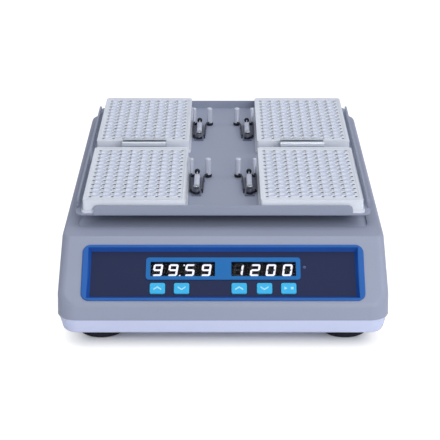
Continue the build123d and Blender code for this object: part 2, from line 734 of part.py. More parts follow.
# Screws through the board and the panel come from behind, so their seat planes face forwards.
board_screws = screws(
    BOARD_SPOTS, at_face(BOARD_REAR), BOARD_SCREW_L, SMALL_SCREW_D, SMALL_HEAD_D, SMALL_HEAD_H, SMALL_SLOT
)
panel_screws = screws(
    PANEL_SCREW_SPOTS,
    at_face(PANEL_BACK),
    PANEL_T + PANEL_SCREW_BITE,
    PANEL_SCREW_D,
    PANEL_HEAD_D,
    SMALL_HEAD_H,
    SMALL_SLOT,
)
with BuildPart() as face_screws:
    add(board_screws)
    add(panel_screws)
finish(face_screws.part, "face_screws")

KEY_FRONT = PANEL_FRONT + KEY_PROUD
KEY_FLANGE_FRONT = PANEL_BACK - KEY_SLIDE
KEY_BACK = KEY_FLANGE_FRONT - KEY_FLANGE_T - SWITCH_CAP_D / 2
SWITCH_TOP = KEY_BACK - KEY_TRAVEL - SWITCH_SPARE


def panel_key(x):
    """One push key: a rounded cap through the panel, a flange behind it and a stem."""
    with BuildPart() as key:
        with BuildSketch(at_face(KEY_FLANGE_FRONT)):
            with Locations((x, KEY_Y)):
                RectangleRounded(KEY_W, KEY_H, KEY_R)
        extrude(amount=KEY_FRONT - KEY_FLANGE_FRONT)
        fillet(key.faces().sort_by(FACE_OUT)[-1].edges(), KEY_EDGE_R)
        with BuildSketch(at_face(KEY_FLANGE_FRONT)):
            with Locations((x, KEY_Y)):
                RectangleRounded(
                    KEY_W + 2 * (KEY_GAP + KEY_FLANGE), KEY_H + 2 * (KEY_GAP + KEY_FLANGE), KEY_R + KEY_GAP + KEY_FLANGE
                )
        extrude(amount=-KEY_FLANGE_T)
        with BuildSketch(at_face(KEY_BACK)):
            with Locations((x, KEY_Y)):
                Circle(KEY_STEM_D / 2)
        extrude(amount=KEY_FLANGE_FRONT - KEY_BACK)
    return key.part


for key_name, key_x in KEYS:
    finish(panel_key(key_x), key_name)

with BuildPart() as key_switches:
    with BuildSketch(at_face(BOARD_FRONT)):
        with Locations(*[(x, KEY_Y) for name, x in KEYS]):
            RectangleRounded(SWITCH_W, SWITCH_W, KEY_EDGE_R)
    extrude(amount=SWITCH_BODY_H)
    with BuildSketch(at_face(BOARD_FRONT + SWITCH_BODY_H)):
        with Locations(*[(x, KEY_Y) for name, x in KEYS]):
            Circle(SWITCH_CAP_D / 2)
    extrude(amount=SWITCH_TOP - BOARD_FRONT - SWITCH_BODY_H)
finish(key_switches.part, "key_switches")

# Control board with its larger components, and the ribbon cable up to the display board.
CONTROL_TOP = CONTROL_Z + CONTROL_T
COMPONENTS = (               # x and y from the board's centre, width, length, height
    (24.0, 2.0, 14.0, 14.0, 2.0),
    (-30.0, 6.0, 22.0, 12.0, 12.0),
    (2.0, 12.0, 18.0, 8.0, 9.0),
    (44.0, -14.0, 16.0, 8.0, 8.0),
    (-8.0, -6.0, 8.0, 5.0, 1.6),
)

with BuildPart() as control_board:
    with BuildSketch(up_from(CONTROL_Z)):
        with Locations((CONTROL_X, CONTROL_Y)):
            Rectangle(CONTROL_W, CONTROL_L)
        with Locations(*CONTROL_SPOTS):
            Circle(SMALL_SCREW_D / 2 + SCREW_GAP, mode=Mode.SUBTRACT)
    extrude(amount=CONTROL_T)
    for along, across, width, length, height in COMPONENTS:
        with BuildSketch(up_from(CONTROL_TOP)):
            with Locations((CONTROL_X + along, CONTROL_Y + across)):
                Rectangle(width, length)
        extrude(amount=height)
finish(control_board.part, "control_board")

control_screws = screws(
    turned(CONTROL_SPOTS), downward(CONTROL_TOP), CONTROL_SCREW_L, SMALL_SCREW_D, SMALL_HEAD_D, SMALL_HEAD_H, SMALL_SLOT
)
chassis_screws = screws(
    turned(CHASSIS_SPOTS), downward(CHASSIS_TOP), CHASSIS_SCREW_L, SCREW_D, SCREW_HEAD_D, SCREW_HEAD_H, 1
)
motor_screws = screws(
    MOTOR_SCREW_SPOTS, up_from(CHASSIS_Z), MOTOR_SCREW_L, SCREW_D, SCREW_HEAD_D, SCREW_HEAD_H, 1
)
housing_screws = screws(
    turned(HOUSING_SCREW_SPOTS),
    downward(CHASSIS_TOP + HOUSING_FLANGE_T),
    HOUSING_SCREW_L,
    HOUSING_SCREW_D,
    HOUSING_HEAD_D,
    HOUSING_HEAD_H,
    SMALL_SLOT,
)
with BuildPart() as inside_screws:
    add(control_screws)
    add(chassis_screws)
    add(motor_screws)
    add(housing_screws)
finish(inside_screws.part, "inside_screws")

RIBBON_START_Y = FACE.origin.Y + RIBBON_LOW * SLOPE_COS - BOARD_REAR * SLOPE_SIN
RIBBON_START_Z = FACE.origin.Z + RIBBON_LOW * SLOPE_SIN + BOARD_REAR * SLOPE_COS
RIBBON_TURN_Y = RIBBON_START_Y + RIBBON_LEAD * SLOPE_SIN
RIBBON_TURN_Z = RIBBON_START_Z - RIBBON_LEAD * SLOPE_COS

with BuildPart() as ribbon_cable:
    with BuildSketch(Plane.YZ.offset(CONTROL_X)):
        with BuildLine():
            FilletPolyline(
                (RIBBON_START_Y, RIBBON_START_Z),
                (RIBBON_TURN_Y, RIBBON_TURN_Z),
                (RIBBON_Y, CONTROL_TOP + RIBBON_LEAD),
                (RIBBON_Y, CONTROL_TOP),
                radius=RIBBON_R,
            )
        trace(line_width=RIBBON_T)
    extrude(amount=RIBBON_W / 2, both=True)
finish(ribbon_cable.part, "ribbon_cable")

# Drive: chassis, bearings, crank and idlers
with BuildPart() as chassis_plate:
    with BuildSketch(up_from(CHASSIS_Z)):
        with Locations((0, CHASSIS_Y)):
            RectangleRounded(CHASSIS_W, CHASSIS_L, CHASSIS_R)
        with Locations(*CHASSIS_SPOTS, *MOTOR_SCREW_SPOTS):
            Circle(SCREW_D / 2 + SCREW_GAP, mode=Mode.SUBTRACT)
        with Locations(*HOUSING_SCREW_SPOTS):
            Circle(HOUSING_SCREW_D / 2, mode=Mode.SUBTRACT)
    extrude(amount=CHASSIS_T)
finish(chassis_plate.part, "chassis_plate")

with BuildPart() as bearing_housings:
    with BuildSketch(up_from(CHASSIS_TOP)):
        with Locations(*AXIS_SPOTS):
            Circle(HOUSING_FLANGE_D / 2)
    extrude(amount=HOUSING_FLANGE_T)
    with BuildSketch(up_from(CHASSIS_TOP)):
        with Locations(*AXIS_SPOTS):
            Circle(HOUSING_D / 2)
    extrude(amount=HOUSING_H)
    chamfer(bearing_housings.edges().group_by(Axis.Z)[-1], HOUSING_CHAMFER)
    with BuildSketch(up_from(LOWER_BEARING_Z)):
        with Locations(*AXIS_SPOTS):
            Circle(BEARING_D / 2)
    extrude(amount=HOUSING_TOP - LOWER_BEARING_Z, mode=Mode.SUBTRACT)
    with BuildSketch(up_from(CHASSIS_TOP)):
        with Locations(*AXIS_SPOTS):
            Circle(BEARING_D / 2 - BEARING_RACE)
    extrude(amount=HOUSING_LIP, mode=Mode.SUBTRACT)
    with BuildSketch(up_from(CHASSIS_TOP)):
        with Locations(*HOUSING_SCREW_SPOTS):
            Circle(HOUSING_SCREW_D / 2 + SCREW_GAP)
    extrude(amount=HOUSING_FLANGE_T, mode=Mode.SUBTRACT)
finish(bearing_housings.part, "bearing_housings")


def bearings(spots, z, bore_d):
    """Ball bearings as closed rings, with the gap between the races as a groove on both faces."""
    with BuildPart() as rings:
        with BuildSketch(up_from(z)):
            with Locations(*spots):
                Circle(BEARING_D / 2)
                Circle(bore_d / 2, mode=Mode.SUBTRACT)
        extrude(amount=BEARING_T)
        for groove_z in (z, z + BEARING_T - BEARING_GROOVE):
            with BuildSketch(up_from(groove_z)):
                with Locations(*spots):
                    Circle(BEARING_D / 2 - BEARING_RACE)
                    Circle(bore_d / 2 + BEARING_RACE, mode=Mode.SUBTRACT)
            extrude(amount=BEARING_GROOVE, mode=Mode.SUBTRACT)
    return rings.part


with BuildPart() as shaft_bearings:
    add(bearings(AXIS_SPOTS, LOWER_BEARING_Z, SHAFT_D + 2 * BEARING_GAP))
    add(bearings(AXIS_SPOTS, LOWER_BEARING_Z + BEARING_SPACE, SHAFT_D + 2 * BEARING_GAP))
finish(shaft_bearings.part, "shaft_bearings")


def crank(x, y, web_z):
    """A shaft in two bearings with a web above them and a pin that stands off its axis."""
    with BuildPart() as made:
        with BuildSketch(up_from(LOWER_BEARING_Z)):
            with Locations((x, y)):
                Circle(SHAFT_D / 2)
        extrude(amount=WEIGHT_Z - LOWER_BEARING_Z)
        with BuildSketch(up_from(web_z)):
            with Locations((x, y)):
                Circle(WEB_D / 2)
        extrude(amount=WEB_TOP - web_z)
        with BuildSketch(up_from(WEB_TOP)):
            with Locations((x, y + ORBIT_R)):
                Circle(SHAFT_D / 2)
        extrude(amount=PIN_H)
        chamfer(made.edges().sort_by(Axis.Z)[-1], PIN_CHAMFER)
    return made.part


finish(crank(0, AXIS_Y, WEIGHT_Z), "drive_crank")
for number, (idler_x, idler_y) in enumerate(AXIS_SPOTS[1:], start=1):
    finish(crank(idler_x, idler_y, PULLEY_Z), f"idler_crank_{number}")

with BuildPart() as crank_pulley:
    with BuildSketch(up_from(PULLEY_Z)):
        with Locations((0, AXIS_Y)):
            Circle(PULLEY_D / 2)
            Circle(SHAFT_D / 2, mode=Mode.SUBTRACT)
            with PolarLocations(PULLEY_HOLE_R, PULLEY_HOLES):
                Circle(PULLEY_HOLE_D / 2, mode=Mode.SUBTRACT)
    extrude(amount=PULLEY_H)
finish(crank_pulley.part, "crank_pulley")

with BuildPart() as counterweight:
    with BuildSketch(up_from(WEIGHT_Z)):
        with Locations((0, AXIS_Y)):
            Circle(WEIGHT_R)
            Circle(WEB_D / 2, mode=Mode.SUBTRACT)
        with Locations((0, AXIS_Y + WEIGHT_R / 2)):
            Rectangle(2 * WEIGHT_R, WEIGHT_R, mode=Mode.SUBTRACT)
    extrude(amount=WEIGHT_T)
finish(counterweight.part, "counterweight")

with BuildPart() as drive_motor:
    with BuildSketch(up_from(CHASSIS_TOP)):
        with Locations(MOTOR_SPOT):
            Circle(MOTOR_D / 2)
    extrude(amount=HOUSING_H - MOTOR_NECK_H)
    fillet(drive_motor.edges().group_by(Axis.Z)[-1], MOTOR_EDGE_R)
    with BuildSketch(up_from(HOUSING_TOP - MOTOR_NECK_H)):
        with Locations(MOTOR_SPOT):
            Circle(MOTOR_NECK_D / 2)
    extrude(amount=MOTOR_NECK_H)
    with BuildSketch(up_from(HOUSING_TOP)):
        with Locations(MOTOR_SPOT):
            Circle(MOTOR_SHAFT_D / 2 + BEARING_GAP)
    extrude(amount=-(MOTOR_SHAFT_IN + PULLEY_RISE), mode=Mode.SUBTRACT)
    with BuildSketch(up_from(CHASSIS_TOP)):
        with Locations(*MOTOR_SCREW_SPOTS):
            Circle(SCREW_D / 2)
    extrude(amount=MOTOR_SCREW_L - CHASSIS_T, mode=Mode.SUBTRACT)
finish(drive_motor.part, "drive_motor")

with BuildPart() as motor_pulley:
    with BuildSketch(up_from(PULLEY_Z)):
        with Locations(MOTOR_SPOT):
            Circle(MOTOR_PULLEY_D / 2)
    extrude(amount=PULLEY_H)
    chamfer(motor_pulley.edges().group_by(Axis.Z)[-1], PULLEY_CHAMFER)
    with BuildSketch(up_from(PULLEY_Z)):
        with Locations(MOTOR_SPOT):
            Circle(MOTOR_SHAFT_D / 2)
    extrude(amount=-MOTOR_SHAFT_IN)
finish(motor_pulley.part, "motor_pulley")


def belt_loop(grow):
    """The outline of a loop round both pulleys, grown by an amount."""
    with BuildSketch(up_from(PULLEY_Z + (PULLEY_H - BELT_W) / 2)) as loop:
        with Locations((0, AXIS_Y)):
            Circle(PULLEY_D / 2 + grow)
        with Locations(MOTOR_SPOT):
            Circle(MOTOR_PULLEY_D / 2 + grow)
        make_hull()
    return loop.sketch


belt_outside = belt_loop(BELT_GAP + BELT_T)
belt_inside = belt_loop(BELT_GAP)
with BuildPart() as drive_belt:
    extrude(belt_outside, amount=BELT_W)
    extrude(belt_inside, amount=BELT_W, mode=Mode.SUBTRACT)
finish(drive_belt.part, "drive_belt")

# Platform: carriage under the cover, posts through it, tray on top
BEAM_YS = (AXIS_Y + IDLER_SPOTS[0][1], TRAY_Y + POST_Y)

with BuildPart() as carriage:
    with BuildSketch(up_from(CARRIAGE_Z)):
        with Locations(*[(0, y) for y in BEAM_YS]):
            RectangleRounded(CARRIAGE_W, CARRIAGE_BEAM, CARRIAGE_R)
        with Locations((0, sum(BEAM_YS) / 2)):
            Rectangle(CARRIAGE_BEAM, BEAM_YS[1] - BEAM_YS[0])
        with Locations(*PIN_SPOTS):
            Circle(BEARING_D / 2, mode=Mode.SUBTRACT)
        with Locations(*POST_SPOTS):
            Circle(POST_SPIGOT_D / 2, mode=Mode.SUBTRACT)
    extrude(amount=CARRIAGE_T)
finish(carriage.part, "carriage")

with BuildPart() as carriage_bearings:
    add(bearings(PIN_SPOTS[:1], CARRIAGE_Z, SHAFT_D + 2 * BEARING_GAP))
    add(bearings(PIN_SPOTS[1:], CARRIAGE_Z, SHAFT_D + 2 * IDLER_PIN_GAP))
finish(carriage_bearings.part, "carriage_bearings")

with BuildPart() as carriage_posts:
    with BuildSketch(up_from(CARRIAGE_Z)):
        with Locations(*POST_SPOTS):
            Circle(POST_SPIGOT_D / 2)
    extrude(amount=CARRIAGE_T)
    with BuildSketch(up_from(CARRIAGE_TOP)):
        with Locations(*POST_SPOTS):
            Circle(POST_FOOT_D / 2)
    extrude(amount=POST_FOOT_H)
    with BuildSketch(up_from(CARRIAGE_TOP + POST_FOOT_H)):
        with Locations(*POST_SPOTS):
            Circle(POST_D / 2)
    extrude(amount=TRAY_Z - CARRIAGE_TOP - POST_FOOT_H)
    with BuildSketch(up_from(TRAY_Z)):
        with Locations(*POST_SPOTS):
            Circle(TRAY_SCREW_D / 2)
    extrude(amount=-TRAY_SCREW_L, mode=Mode.SUBTRACT)
finish(carriage_posts.part, "carriage_posts")

TRAY_HEAD_H = (TRAY_HEAD_D - TRAY_SCREW_D) / 2


def countersunk(z, spots, grow):
    """Countersunk heads that end at height z, with their shanks below."""
    with BuildPart() as made:
        for spot in spots:
            with BuildSketch(up_from(z)):
                with Locations(spot):
                    Circle(TRAY_HEAD_D / 2 + grow)
            with BuildSketch(up_from(z - TRAY_HEAD_H)):
                with Locations(spot):
                    Circle(TRAY_SCREW_D / 2 + grow)
            loft()
        with BuildSketch(up_from(z - TRAY_HEAD_H)):
            with Locations(*spots):
                Circle(TRAY_SCREW_D / 2 + grow)
        extrude(amount=-(TRAY_SCREW_L + TRAY_T - TRAY_HEAD_H))
    return made.part


FLANGE_TOP = TRAY_FLOOR_Z + FLANGE_H
FLANGE_RISE = FLANGE_TOP - TRAY_Z
RIVET_SPOTS = [(sx * (CLIP_X + rx), TRAY_Y) for sx in SIDES for rx in (-CLIP_RIVET_X, CLIP_RIVET_X)]
PIVOT_SPOTS = [(sx * CLAMP_X, TRAY_Y + sy * CLAMP_Y + PIVOT_V) for sx, sy in CLAMP_SPOTS]

with BuildPart() as tray:
    with BuildSketch(up_from(TRAY_Z)):
        with Locations((0, TRAY_Y)):
            RectangleRounded(TRAY_W, TRAY_L, TRAY_R)
    extrude(amount=TRAY_T)
    # Four upturned flanges, each stopping short of the corners.
    for sx in SIDES:
        with BuildSketch(Plane.YZ.offset(sx * TRAY_W / 2)):
            with Locations((TRAY_Y, TRAY_Z + FLANGE_RISE / 2)):
                side_flange = Rectangle(TRAY_L - 2 * FLANGE_NOTCH, FLANGE_RISE)
            fillet(side_flange.vertices().group_by(Axis.Z)[-1], FLANGE_END_R)
        extrude(amount=-sx * TRAY_T)
    for sy in SIDES:
        with BuildSketch(Plane.XZ.offset(-TRAY_Y - sy * TRAY_L / 2)):
            with Locations((0, TRAY_Z + FLANGE_RISE / 2)):
                end_flange = Rectangle(TRAY_W - 2 * FLANGE_NOTCH, FLANGE_RISE)
            fillet(end_flange.vertices().group_by(Axis.Z)[-1], FLANGE_END_R)
        extrude(amount=sy * TRAY_T)
    # The bends, rounded outside and inside.
    fillet(tray.edges().group_by(Axis.Z)[0], BEND_OUT_R)
    floor_edges = tray.edges().filter_by(lambda e: abs(e.center().Z - TRAY_FLOOR_Z) < 0.01)
    inner_bends = floor_edges.filter_by(
        lambda e: abs(abs(e.center().X) - TRAY_W / 2 + TRAY_T) < 0.01
        or abs(abs(e.center().Y - TRAY_Y) - TRAY_L / 2 + TRAY_T) < 0.01
    )
    fillet(inner_bends, BEND_IN_R)
    add(countersunk(TRAY_FLOOR_Z, POST_SPOTS, 0), mode=Mode.SUBTRACT)
    with BuildSketch(up_from(TRAY_Z)):
        with Locations(*RIVET_SPOTS):
            Circle(RIVET_D / 2)
        with Locations(*PIVOT_SPOTS):
            Circle(PIVOT_D / 2)
    extrude(amount=TRAY_T, mode=Mode.SUBTRACT)
finish(tray.part, "tray")

finish(countersunk(TRAY_FLOOR_Z, POST_SPOTS, 0), "tray_screws")

with BuildPart() as centre_clips:
    for sx in SIDES:
        with BuildSketch(Plane.YZ.offset(sx * CLIP_X)):
            with BuildLine():
                base_z = TRAY_FLOOR_Z + CLIP_T / 2
                half = [
                    (CLIP_BASE, base_z),
                    (CLIP_BULGE, TRAY_FLOOR_Z + CLIP_BULGE_H),
                    (CLIP_NECK, TRAY_FLOOR_Z + CLIP_TOP_H - CLIP_T / 2),
                    (CLIP_CURL, TRAY_FLOOR_Z + CLIP_TOP_H - CLIP_T - CLIP_ROLL_R / 2),
                ]
                front = [(TRAY_Y - v, z) for v, z in reversed(half)]
                rear = [(TRAY_Y + v, z) for v, z in half]
                bends = [CLIP_ROLL_R, CLIP_WAIST_R, CLIP_BEND_R]
                FilletPolyline(*front, *rear, radius=bends + bends[::-1])
            trace(line_width=CLIP_T)
        extrude(amount=CLIP_L / 2, both=True)
    with BuildSketch(up_from(TRAY_FLOOR_Z)):
        with Locations(*RIVET_SPOTS):
            Circle(RIVET_D / 2)
    extrude(amount=CLIP_T, mode=Mode.SUBTRACT)
finish(centre_clips.part, "centre_clips")

with BuildPart() as clip_rivets:
    with BuildSketch(up_from(TRAY_Z - RIVET_HEAD_H)):
        with Locations(*RIVET_SPOTS):
            Circle(RIVET_D / 2)
    extrude(amount=RIVET_HEAD_H + TRAY_T + CLIP_T)
    for head_z in (TRAY_Z - RIVET_HEAD_H, TRAY_FLOOR_Z + CLIP_T):
        with BuildSketch(up_from(head_z)):
            with Locations(*RIVET_SPOTS):
                Circle(RIVET_HEAD_D / 2)
        extrude(amount=RIVET_HEAD_H)
    fillet(clip_rivets.edges().group_by(Axis.Z)[-1], RIVET_HEAD_H / 2)
finish(clip_rivets.part, "clip_rivets")


# Side clamps
def clamp_point(sx, sy, u, v):
    """A plan point of one clamp: u towards its plate, v towards the rear."""
    return (sx * (CLAMP_X + u), TRAY_Y + sy * CLAMP_Y + v)


def over_floor(w):
    """A level plane at height w above the tray floor."""
    return Plane.XY.offset(TRAY_FLOOR_Z + w)


def clamp_arm(sx, sy, side, finger_u, finger_d):
    """A clamp's wire arm with its finger post: on the plate's side (1) or the inner side (-1)."""
    with BuildPart() as arm:
        with BuildSketch(over_floor(ARM_LOW)):
            with BuildLine():
                FilletPolyline(
                    clamp_point(sx, sy, side * ARM_TOE[0], ARM_TOE[1]),
                    clamp_point(sx, sy, side * ARM_KNEE[0], ARM_KNEE[1]),
                    clamp_point(sx, sy, side * ARM_WAIST[0], ARM_WAIST[1]),
                    clamp_point(sx, sy, side * finger_u, FINGER_V),
                    radius=HUB_D,
                )
            trace(line_width=ARM_T)
        extrude(amount=ARM_TOP - ARM_LOW)
        with BuildSketch(over_floor(PAD_TOP)):
            with Locations(clamp_point(sx, sy, side * finger_u, FINGER_V)):
                Circle(finger_d / 2)
        extrude(amount=FINGER_TOP - PAD_TOP)
        fillet(arm.edges().sort_by(Axis.Z)[-1], FINGER_EDGE_R)
    return arm.part


def clamp_pad(sx, sy, u, diameter):
    """The round rubber pad under a clamp's finger."""
    with BuildPart() as pad:
        with BuildSketch(over_floor(PAD_LOW)):
            with Locations(clamp_point(sx, sy, u, PAD_V)):
                Circle(diameter / 2)
        extrude(amount=PAD_TOP - PAD_LOW)
        fillet(pad.edges(), PAD_EDGE_R)
    return pad.part


with BuildSketch() as base_outline:
    with BuildLine():
        right_half = [
            (CLAMP_NOSE_HALF, CLAMP_FRONT),
            (CLAMP_NOSE_HALF, CLAMP_NOSE),
            (CLAMP_HALF, CLAMP_FLARE),
            (CLAMP_HALF, CLAMP_SHOULDER),
            (CLAMP_REAR_HALF, CLAMP_REAR),
        ]
        Polyline(*right_half, *[(-u, v) for u, v in reversed(right_half)], close=True)
    make_face()

with BuildPart() as clamp_bases:
    for sx, sy in CLAMP_SPOTS:
        with BuildSketch(over_floor(0)):
            with Locations(clamp_point(sx, sy, 0, 0)):
                add(base_outline.sketch)
        extrude(amount=CLAMP_SHEET)
        with BuildSketch(over_floor(CLAMP_SHEET)):
            with Locations(clamp_point(sx, sy, 0, (RIB_FRONT + CLAMP_REAR) / 2)):
                RectangleRounded(2 * RIB_HALF, CLAMP_REAR - RIB_FRONT, RIB_R)
        extrude(amount=RIB_H - CLAMP_SHEET, taper=RIB_DRAFT)
        # The fixed arm stands on a foot near the hub and on a prop near its finger.
        with BuildSketch(over_floor(0)):
            with Locations(clamp_point(sx, sy, -ARM_KNEE[0], (ARM_TOE[1] + ARM_KNEE[1]) / 2)):
                Rectangle(ARM_T, ARM_KNEE[1] - ARM_TOE[1])
            with Locations(clamp_point(sx, sy, -ARM_WAIST[0], ARM_WAIST[1] - ARM_PROP_L)):
                Rectangle(ARM_T, ARM_PROP_L)
        extrude(amount=ARM_LOW)
        add(clamp_arm(sx, sy, -1, FIXED_FINGER_U, FIXED_FINGER_D))
        # The ball on its neck, behind the rib.
        with BuildSketch(Plane.XZ.offset(-clamp_point(sx, sy, 0, BALL_V)[1])):
            with Locations((clamp_point(sx, sy, 0, BALL_V)[0], TRAY_FLOOR_Z + BALL_W)):
                Circle(NECK_D / 2)
        extrude(amount=BALL_V - CLAMP_REAR + RIB_R)
        with Locations((*clamp_point(sx, sy, 0, BALL_V), TRAY_FLOOR_Z + BALL_W)):
            Sphere(BALL_D / 2)
    with BuildSketch(over_floor(0)):
        with Locations(*PIVOT_SPOTS):
            Circle(PIVOT_D / 2)
    extrude(amount=CLAMP_SHEET, mode=Mode.SUBTRACT)
finish(clamp_bases.part, "clamp_bases")

with BuildPart() as clamp_pins:
    with BuildSketch(over_floor(-TRAY_T - RIVET_HEAD_H)):
        with Locations(*PIVOT_SPOTS):
            Circle(PIVOT_HEAD_D / 2)
    extrude(amount=RIVET_HEAD_H)
    with BuildSketch(over_floor(-TRAY_T)):
        with Locations(*PIVOT_SPOTS):
            Circle(PIVOT_D / 2)
    extrude(amount=TRAY_T + PIVOT_TOP)
    with BuildSketch(over_floor(PIVOT_TOP)):
        with Locations(*PIVOT_SPOTS):
            Circle(PIVOT_HEAD_D / 2)
    extrude(amount=PIVOT_HEAD_H)
    fillet(clamp_pins.edges().group_by(Axis.Z)[-1], PIVOT_HEAD_H / 2)
finish(clamp_pins.part, "clamp_pins")

with BuildPart() as fixed_pads:
    for sx, sy in CLAMP_SPOTS:
        add(clamp_pad(sx, sy, -FIXED_FINGER_U, FIXED_PAD_D))
finish(fixed_pads.part, "fixed_pads")

SPRING_LOW = HUB_LOW + HUB_T + SPRING_WIRE / 2 + SCREW_GAP

with BuildPart() as clamp_springs:
    for sx, sy in CLAMP_SPOTS:
        spring_x, spring_y = clamp_point(sx, sy, 0, PIVOT_V)
        with BuildLine() as coil:
            Helix(
                pitch=SPRING_PITCH,
                height=SPRING_PITCH * SPRING_TURNS,
                radius=SPRING_D / 2,
                center=(spring_x, spring_y, TRAY_FLOOR_Z + SPRING_LOW),
            )
        with BuildSketch(Plane(origin=coil.line @ 0, z_dir=coil.line % 0)):
            Circle(SPRING_WIRE / 2)
        sweep(path=coil.line)
finish(clamp_springs.part, "clamp_springs")


def clamp_lever(sx, sy):
    """The moving half of a clamp: hub on the pin, foot, wire arm and finger post."""
    with BuildPart() as lever:
        with BuildSketch(over_floor(HUB_LOW)):
            with Locations(clamp_point(sx, sy, 0, PIVOT_V)):
                Circle(HUB_D / 2)
            with BuildLine():
                Line(
                    clamp_point(sx, sy, 0, PIVOT_V),
                    clamp_point(sx, sy, ARM_TOE[0] + ARM_T / 2, (ARM_TOE[1] + ARM_KNEE[1]) / 2),
                )
            trace(line_width=HUB_D / 2)
            with Locations(clamp_point(sx, sy, 0, PIVOT_V)):
                Circle(PIVOT_D / 2 + PIVOT_GAP, mode=Mode.SUBTRACT)
        extrude(amount=HUB_T)
        with BuildSketch(over_floor(HUB_LOW)):
            with Locations(clamp_point(sx, sy, ARM_KNEE[0], (ARM_TOE[1] + ARM_KNEE[1]) / 2)):
                Rectangle(ARM_T, ARM_KNEE[1] - ARM_TOE[1])
        extrude(amount=ARM_LOW - HUB_LOW)
        add(clamp_arm(sx, sy, 1, LEVER_FINGER_U, LEVER_FINGER_D))
    return lever.part


for sx, sy in CLAMP_SPOTS:
    end = "front" if sy < 0 else "rear"
    hand = "left" if sx < 0 else "right"
    finish(clamp_lever(sx, sy), f"clamp_lever_{end}_{hand}")
    finish(clamp_pad(sx, sy, LEVER_PAD_U, LEVER_PAD_D), f"lever_pad_{end}_{hand}")


# Microplates
def microplate(sx, sy):
    """A plate with a skirt, 8 by 12 rimmed wells with openings between, and a hollow underside."""
    centre = (sx * PLATE_X, TRAY_Y + sy * PLATE_Y)
    foot_z = TRAY_FLOOR_Z + PLATE_FLOAT
    top_z = foot_z + PLATE_H
    body_w = PLATE_W - 2 * PLATE_SKIRT_IN
    body_l = PLATE_L - 2 * PLATE_SKIRT_IN
    body_r = PLATE_R - PLATE_SKIRT_IN
    with BuildPart() as plate:
        with BuildSketch(up_from(foot_z)):
            with Locations(centre):
                RectangleRounded(PLATE_W, PLATE_L, PLATE_R)
        extrude(amount=PLATE_SKIRT_H)
        with BuildSketch(up_from(foot_z)):
            with Locations(centre):
                RectangleRounded(body_w, body_l, body_r)
        extrude(amount=PLATE_H)
        # Two cut corners at the rear end tell which way round the plate goes.
        with BuildSketch(up_from(foot_z)):
            with Locations(*[(centre[0] + side * PLATE_W / 2, centre[1] + PLATE_L / 2) for side in SIDES]):
                Rectangle(PLATE_CHAMFER * sqrt(2), PLATE_CHAMFER * sqrt(2), rotation=45)
        extrude(amount=PLATE_H, mode=Mode.SUBTRACT)
        with BuildSketch(up_from(foot_z)):
            with Locations(centre):
                RectangleRounded(body_w - 2 * PLATE_WALL, body_l - 2 * PLATE_WALL, PLATE_CHAMFER)
        extrude(amount=PLATE_H - PLATE_DECK, mode=Mode.SUBTRACT)
        with BuildSketch(up_from(top_z)):
            with Locations(centre):
                RectangleRounded(body_w - 2 * PLATE_RIM_W, body_l - 2 * PLATE_RIM_W, PLATE_CHAMFER)
        extrude(amount=-PLATE_RIM_H, mode=Mode.SUBTRACT)
        with BuildSketch(up_from(top_z)):
            with Locations(centre):
                with GridLocations(WELL_PITCH, WELL_PITCH, WELL_NX + 1, WELL_NY + 1):
                    Circle(EYE_D / 2)
        extrude(amount=-PLATE_DECK, mode=Mode.SUBTRACT)
        with BuildSketch(up_from(top_z)):
            with Locations(centre):
                with GridLocations(WELL_PITCH, WELL_PITCH, WELL_NX, WELL_NY):
                    Circle(WELL_OD / 2)
        extrude(amount=-(WELL_DEPTH + WELL_FLOOR))
        with BuildSketch(up_from(top_z)):
            with Locations(centre):
                with GridLocations(WELL_PITCH, WELL_PITCH, WELL_NX, WELL_NY):
                    Circle(WELL_D / 2)
        extrude(amount=-WELL_DEPTH, mode=Mode.SUBTRACT)
    return plate.part


for sx, sy in CLAMP_SPOTS:
    end = "front" if sy < 0 else "rear"
    hand = "left" if sx < 0 else "right"
    finish(microplate(sx, sy), f"microplate_{end}_{hand}")

# Rear fittings
POCKET_FLOOR_IN = POCKET_DEPTH           # both measured forwards from the rear end
HINGE_IN = POCKET_FLOOR_IN + ROCKER_SINK
HINGE_Y = BODY_L / 2 - HINGE_IN

with BuildPart() as rocker_housing:
    with BuildSketch(rear_plane(POCKET_FLOOR_IN - ROCKER_RIM_T)):
        with Locations((ROCKER_X, POCKET_Z)):
            RectangleRounded(ROCKER_W + 4 * ROCKER_RIM, ROCKER_H + 4 * ROCKER_RIM, ROCKER_RIM)
    extrude(amount=ROCKER_RIM_T)
    with BuildSketch(rear_plane(POCKET_FLOOR_IN)):
        with Locations((ROCKER_X, POCKET_Z)):
            Rectangle(ROCKER_W + 2 * ROCKER_RIM - ROCKER_GAP, ROCKER_H + 2 * ROCKER_RIM - ROCKER_GAP)
    extrude(amount=ROCKER_BODY_L)
    with BuildSketch(rear_plane(POCKET_FLOOR_IN - ROCKER_RIM_T)):
        with Locations((ROCKER_X, POCKET_Z)):
            Rectangle(ROCKER_W + 2 * ROCKER_GAP, ROCKER_H + 2 * ROCKER_GAP)
    extrude(amount=ROCKER_RIM_T + ROCKER_SINK + ROCKER_H / 2, mode=Mode.SUBTRACT)
finish(rocker_housing.part, "rocker_housing")

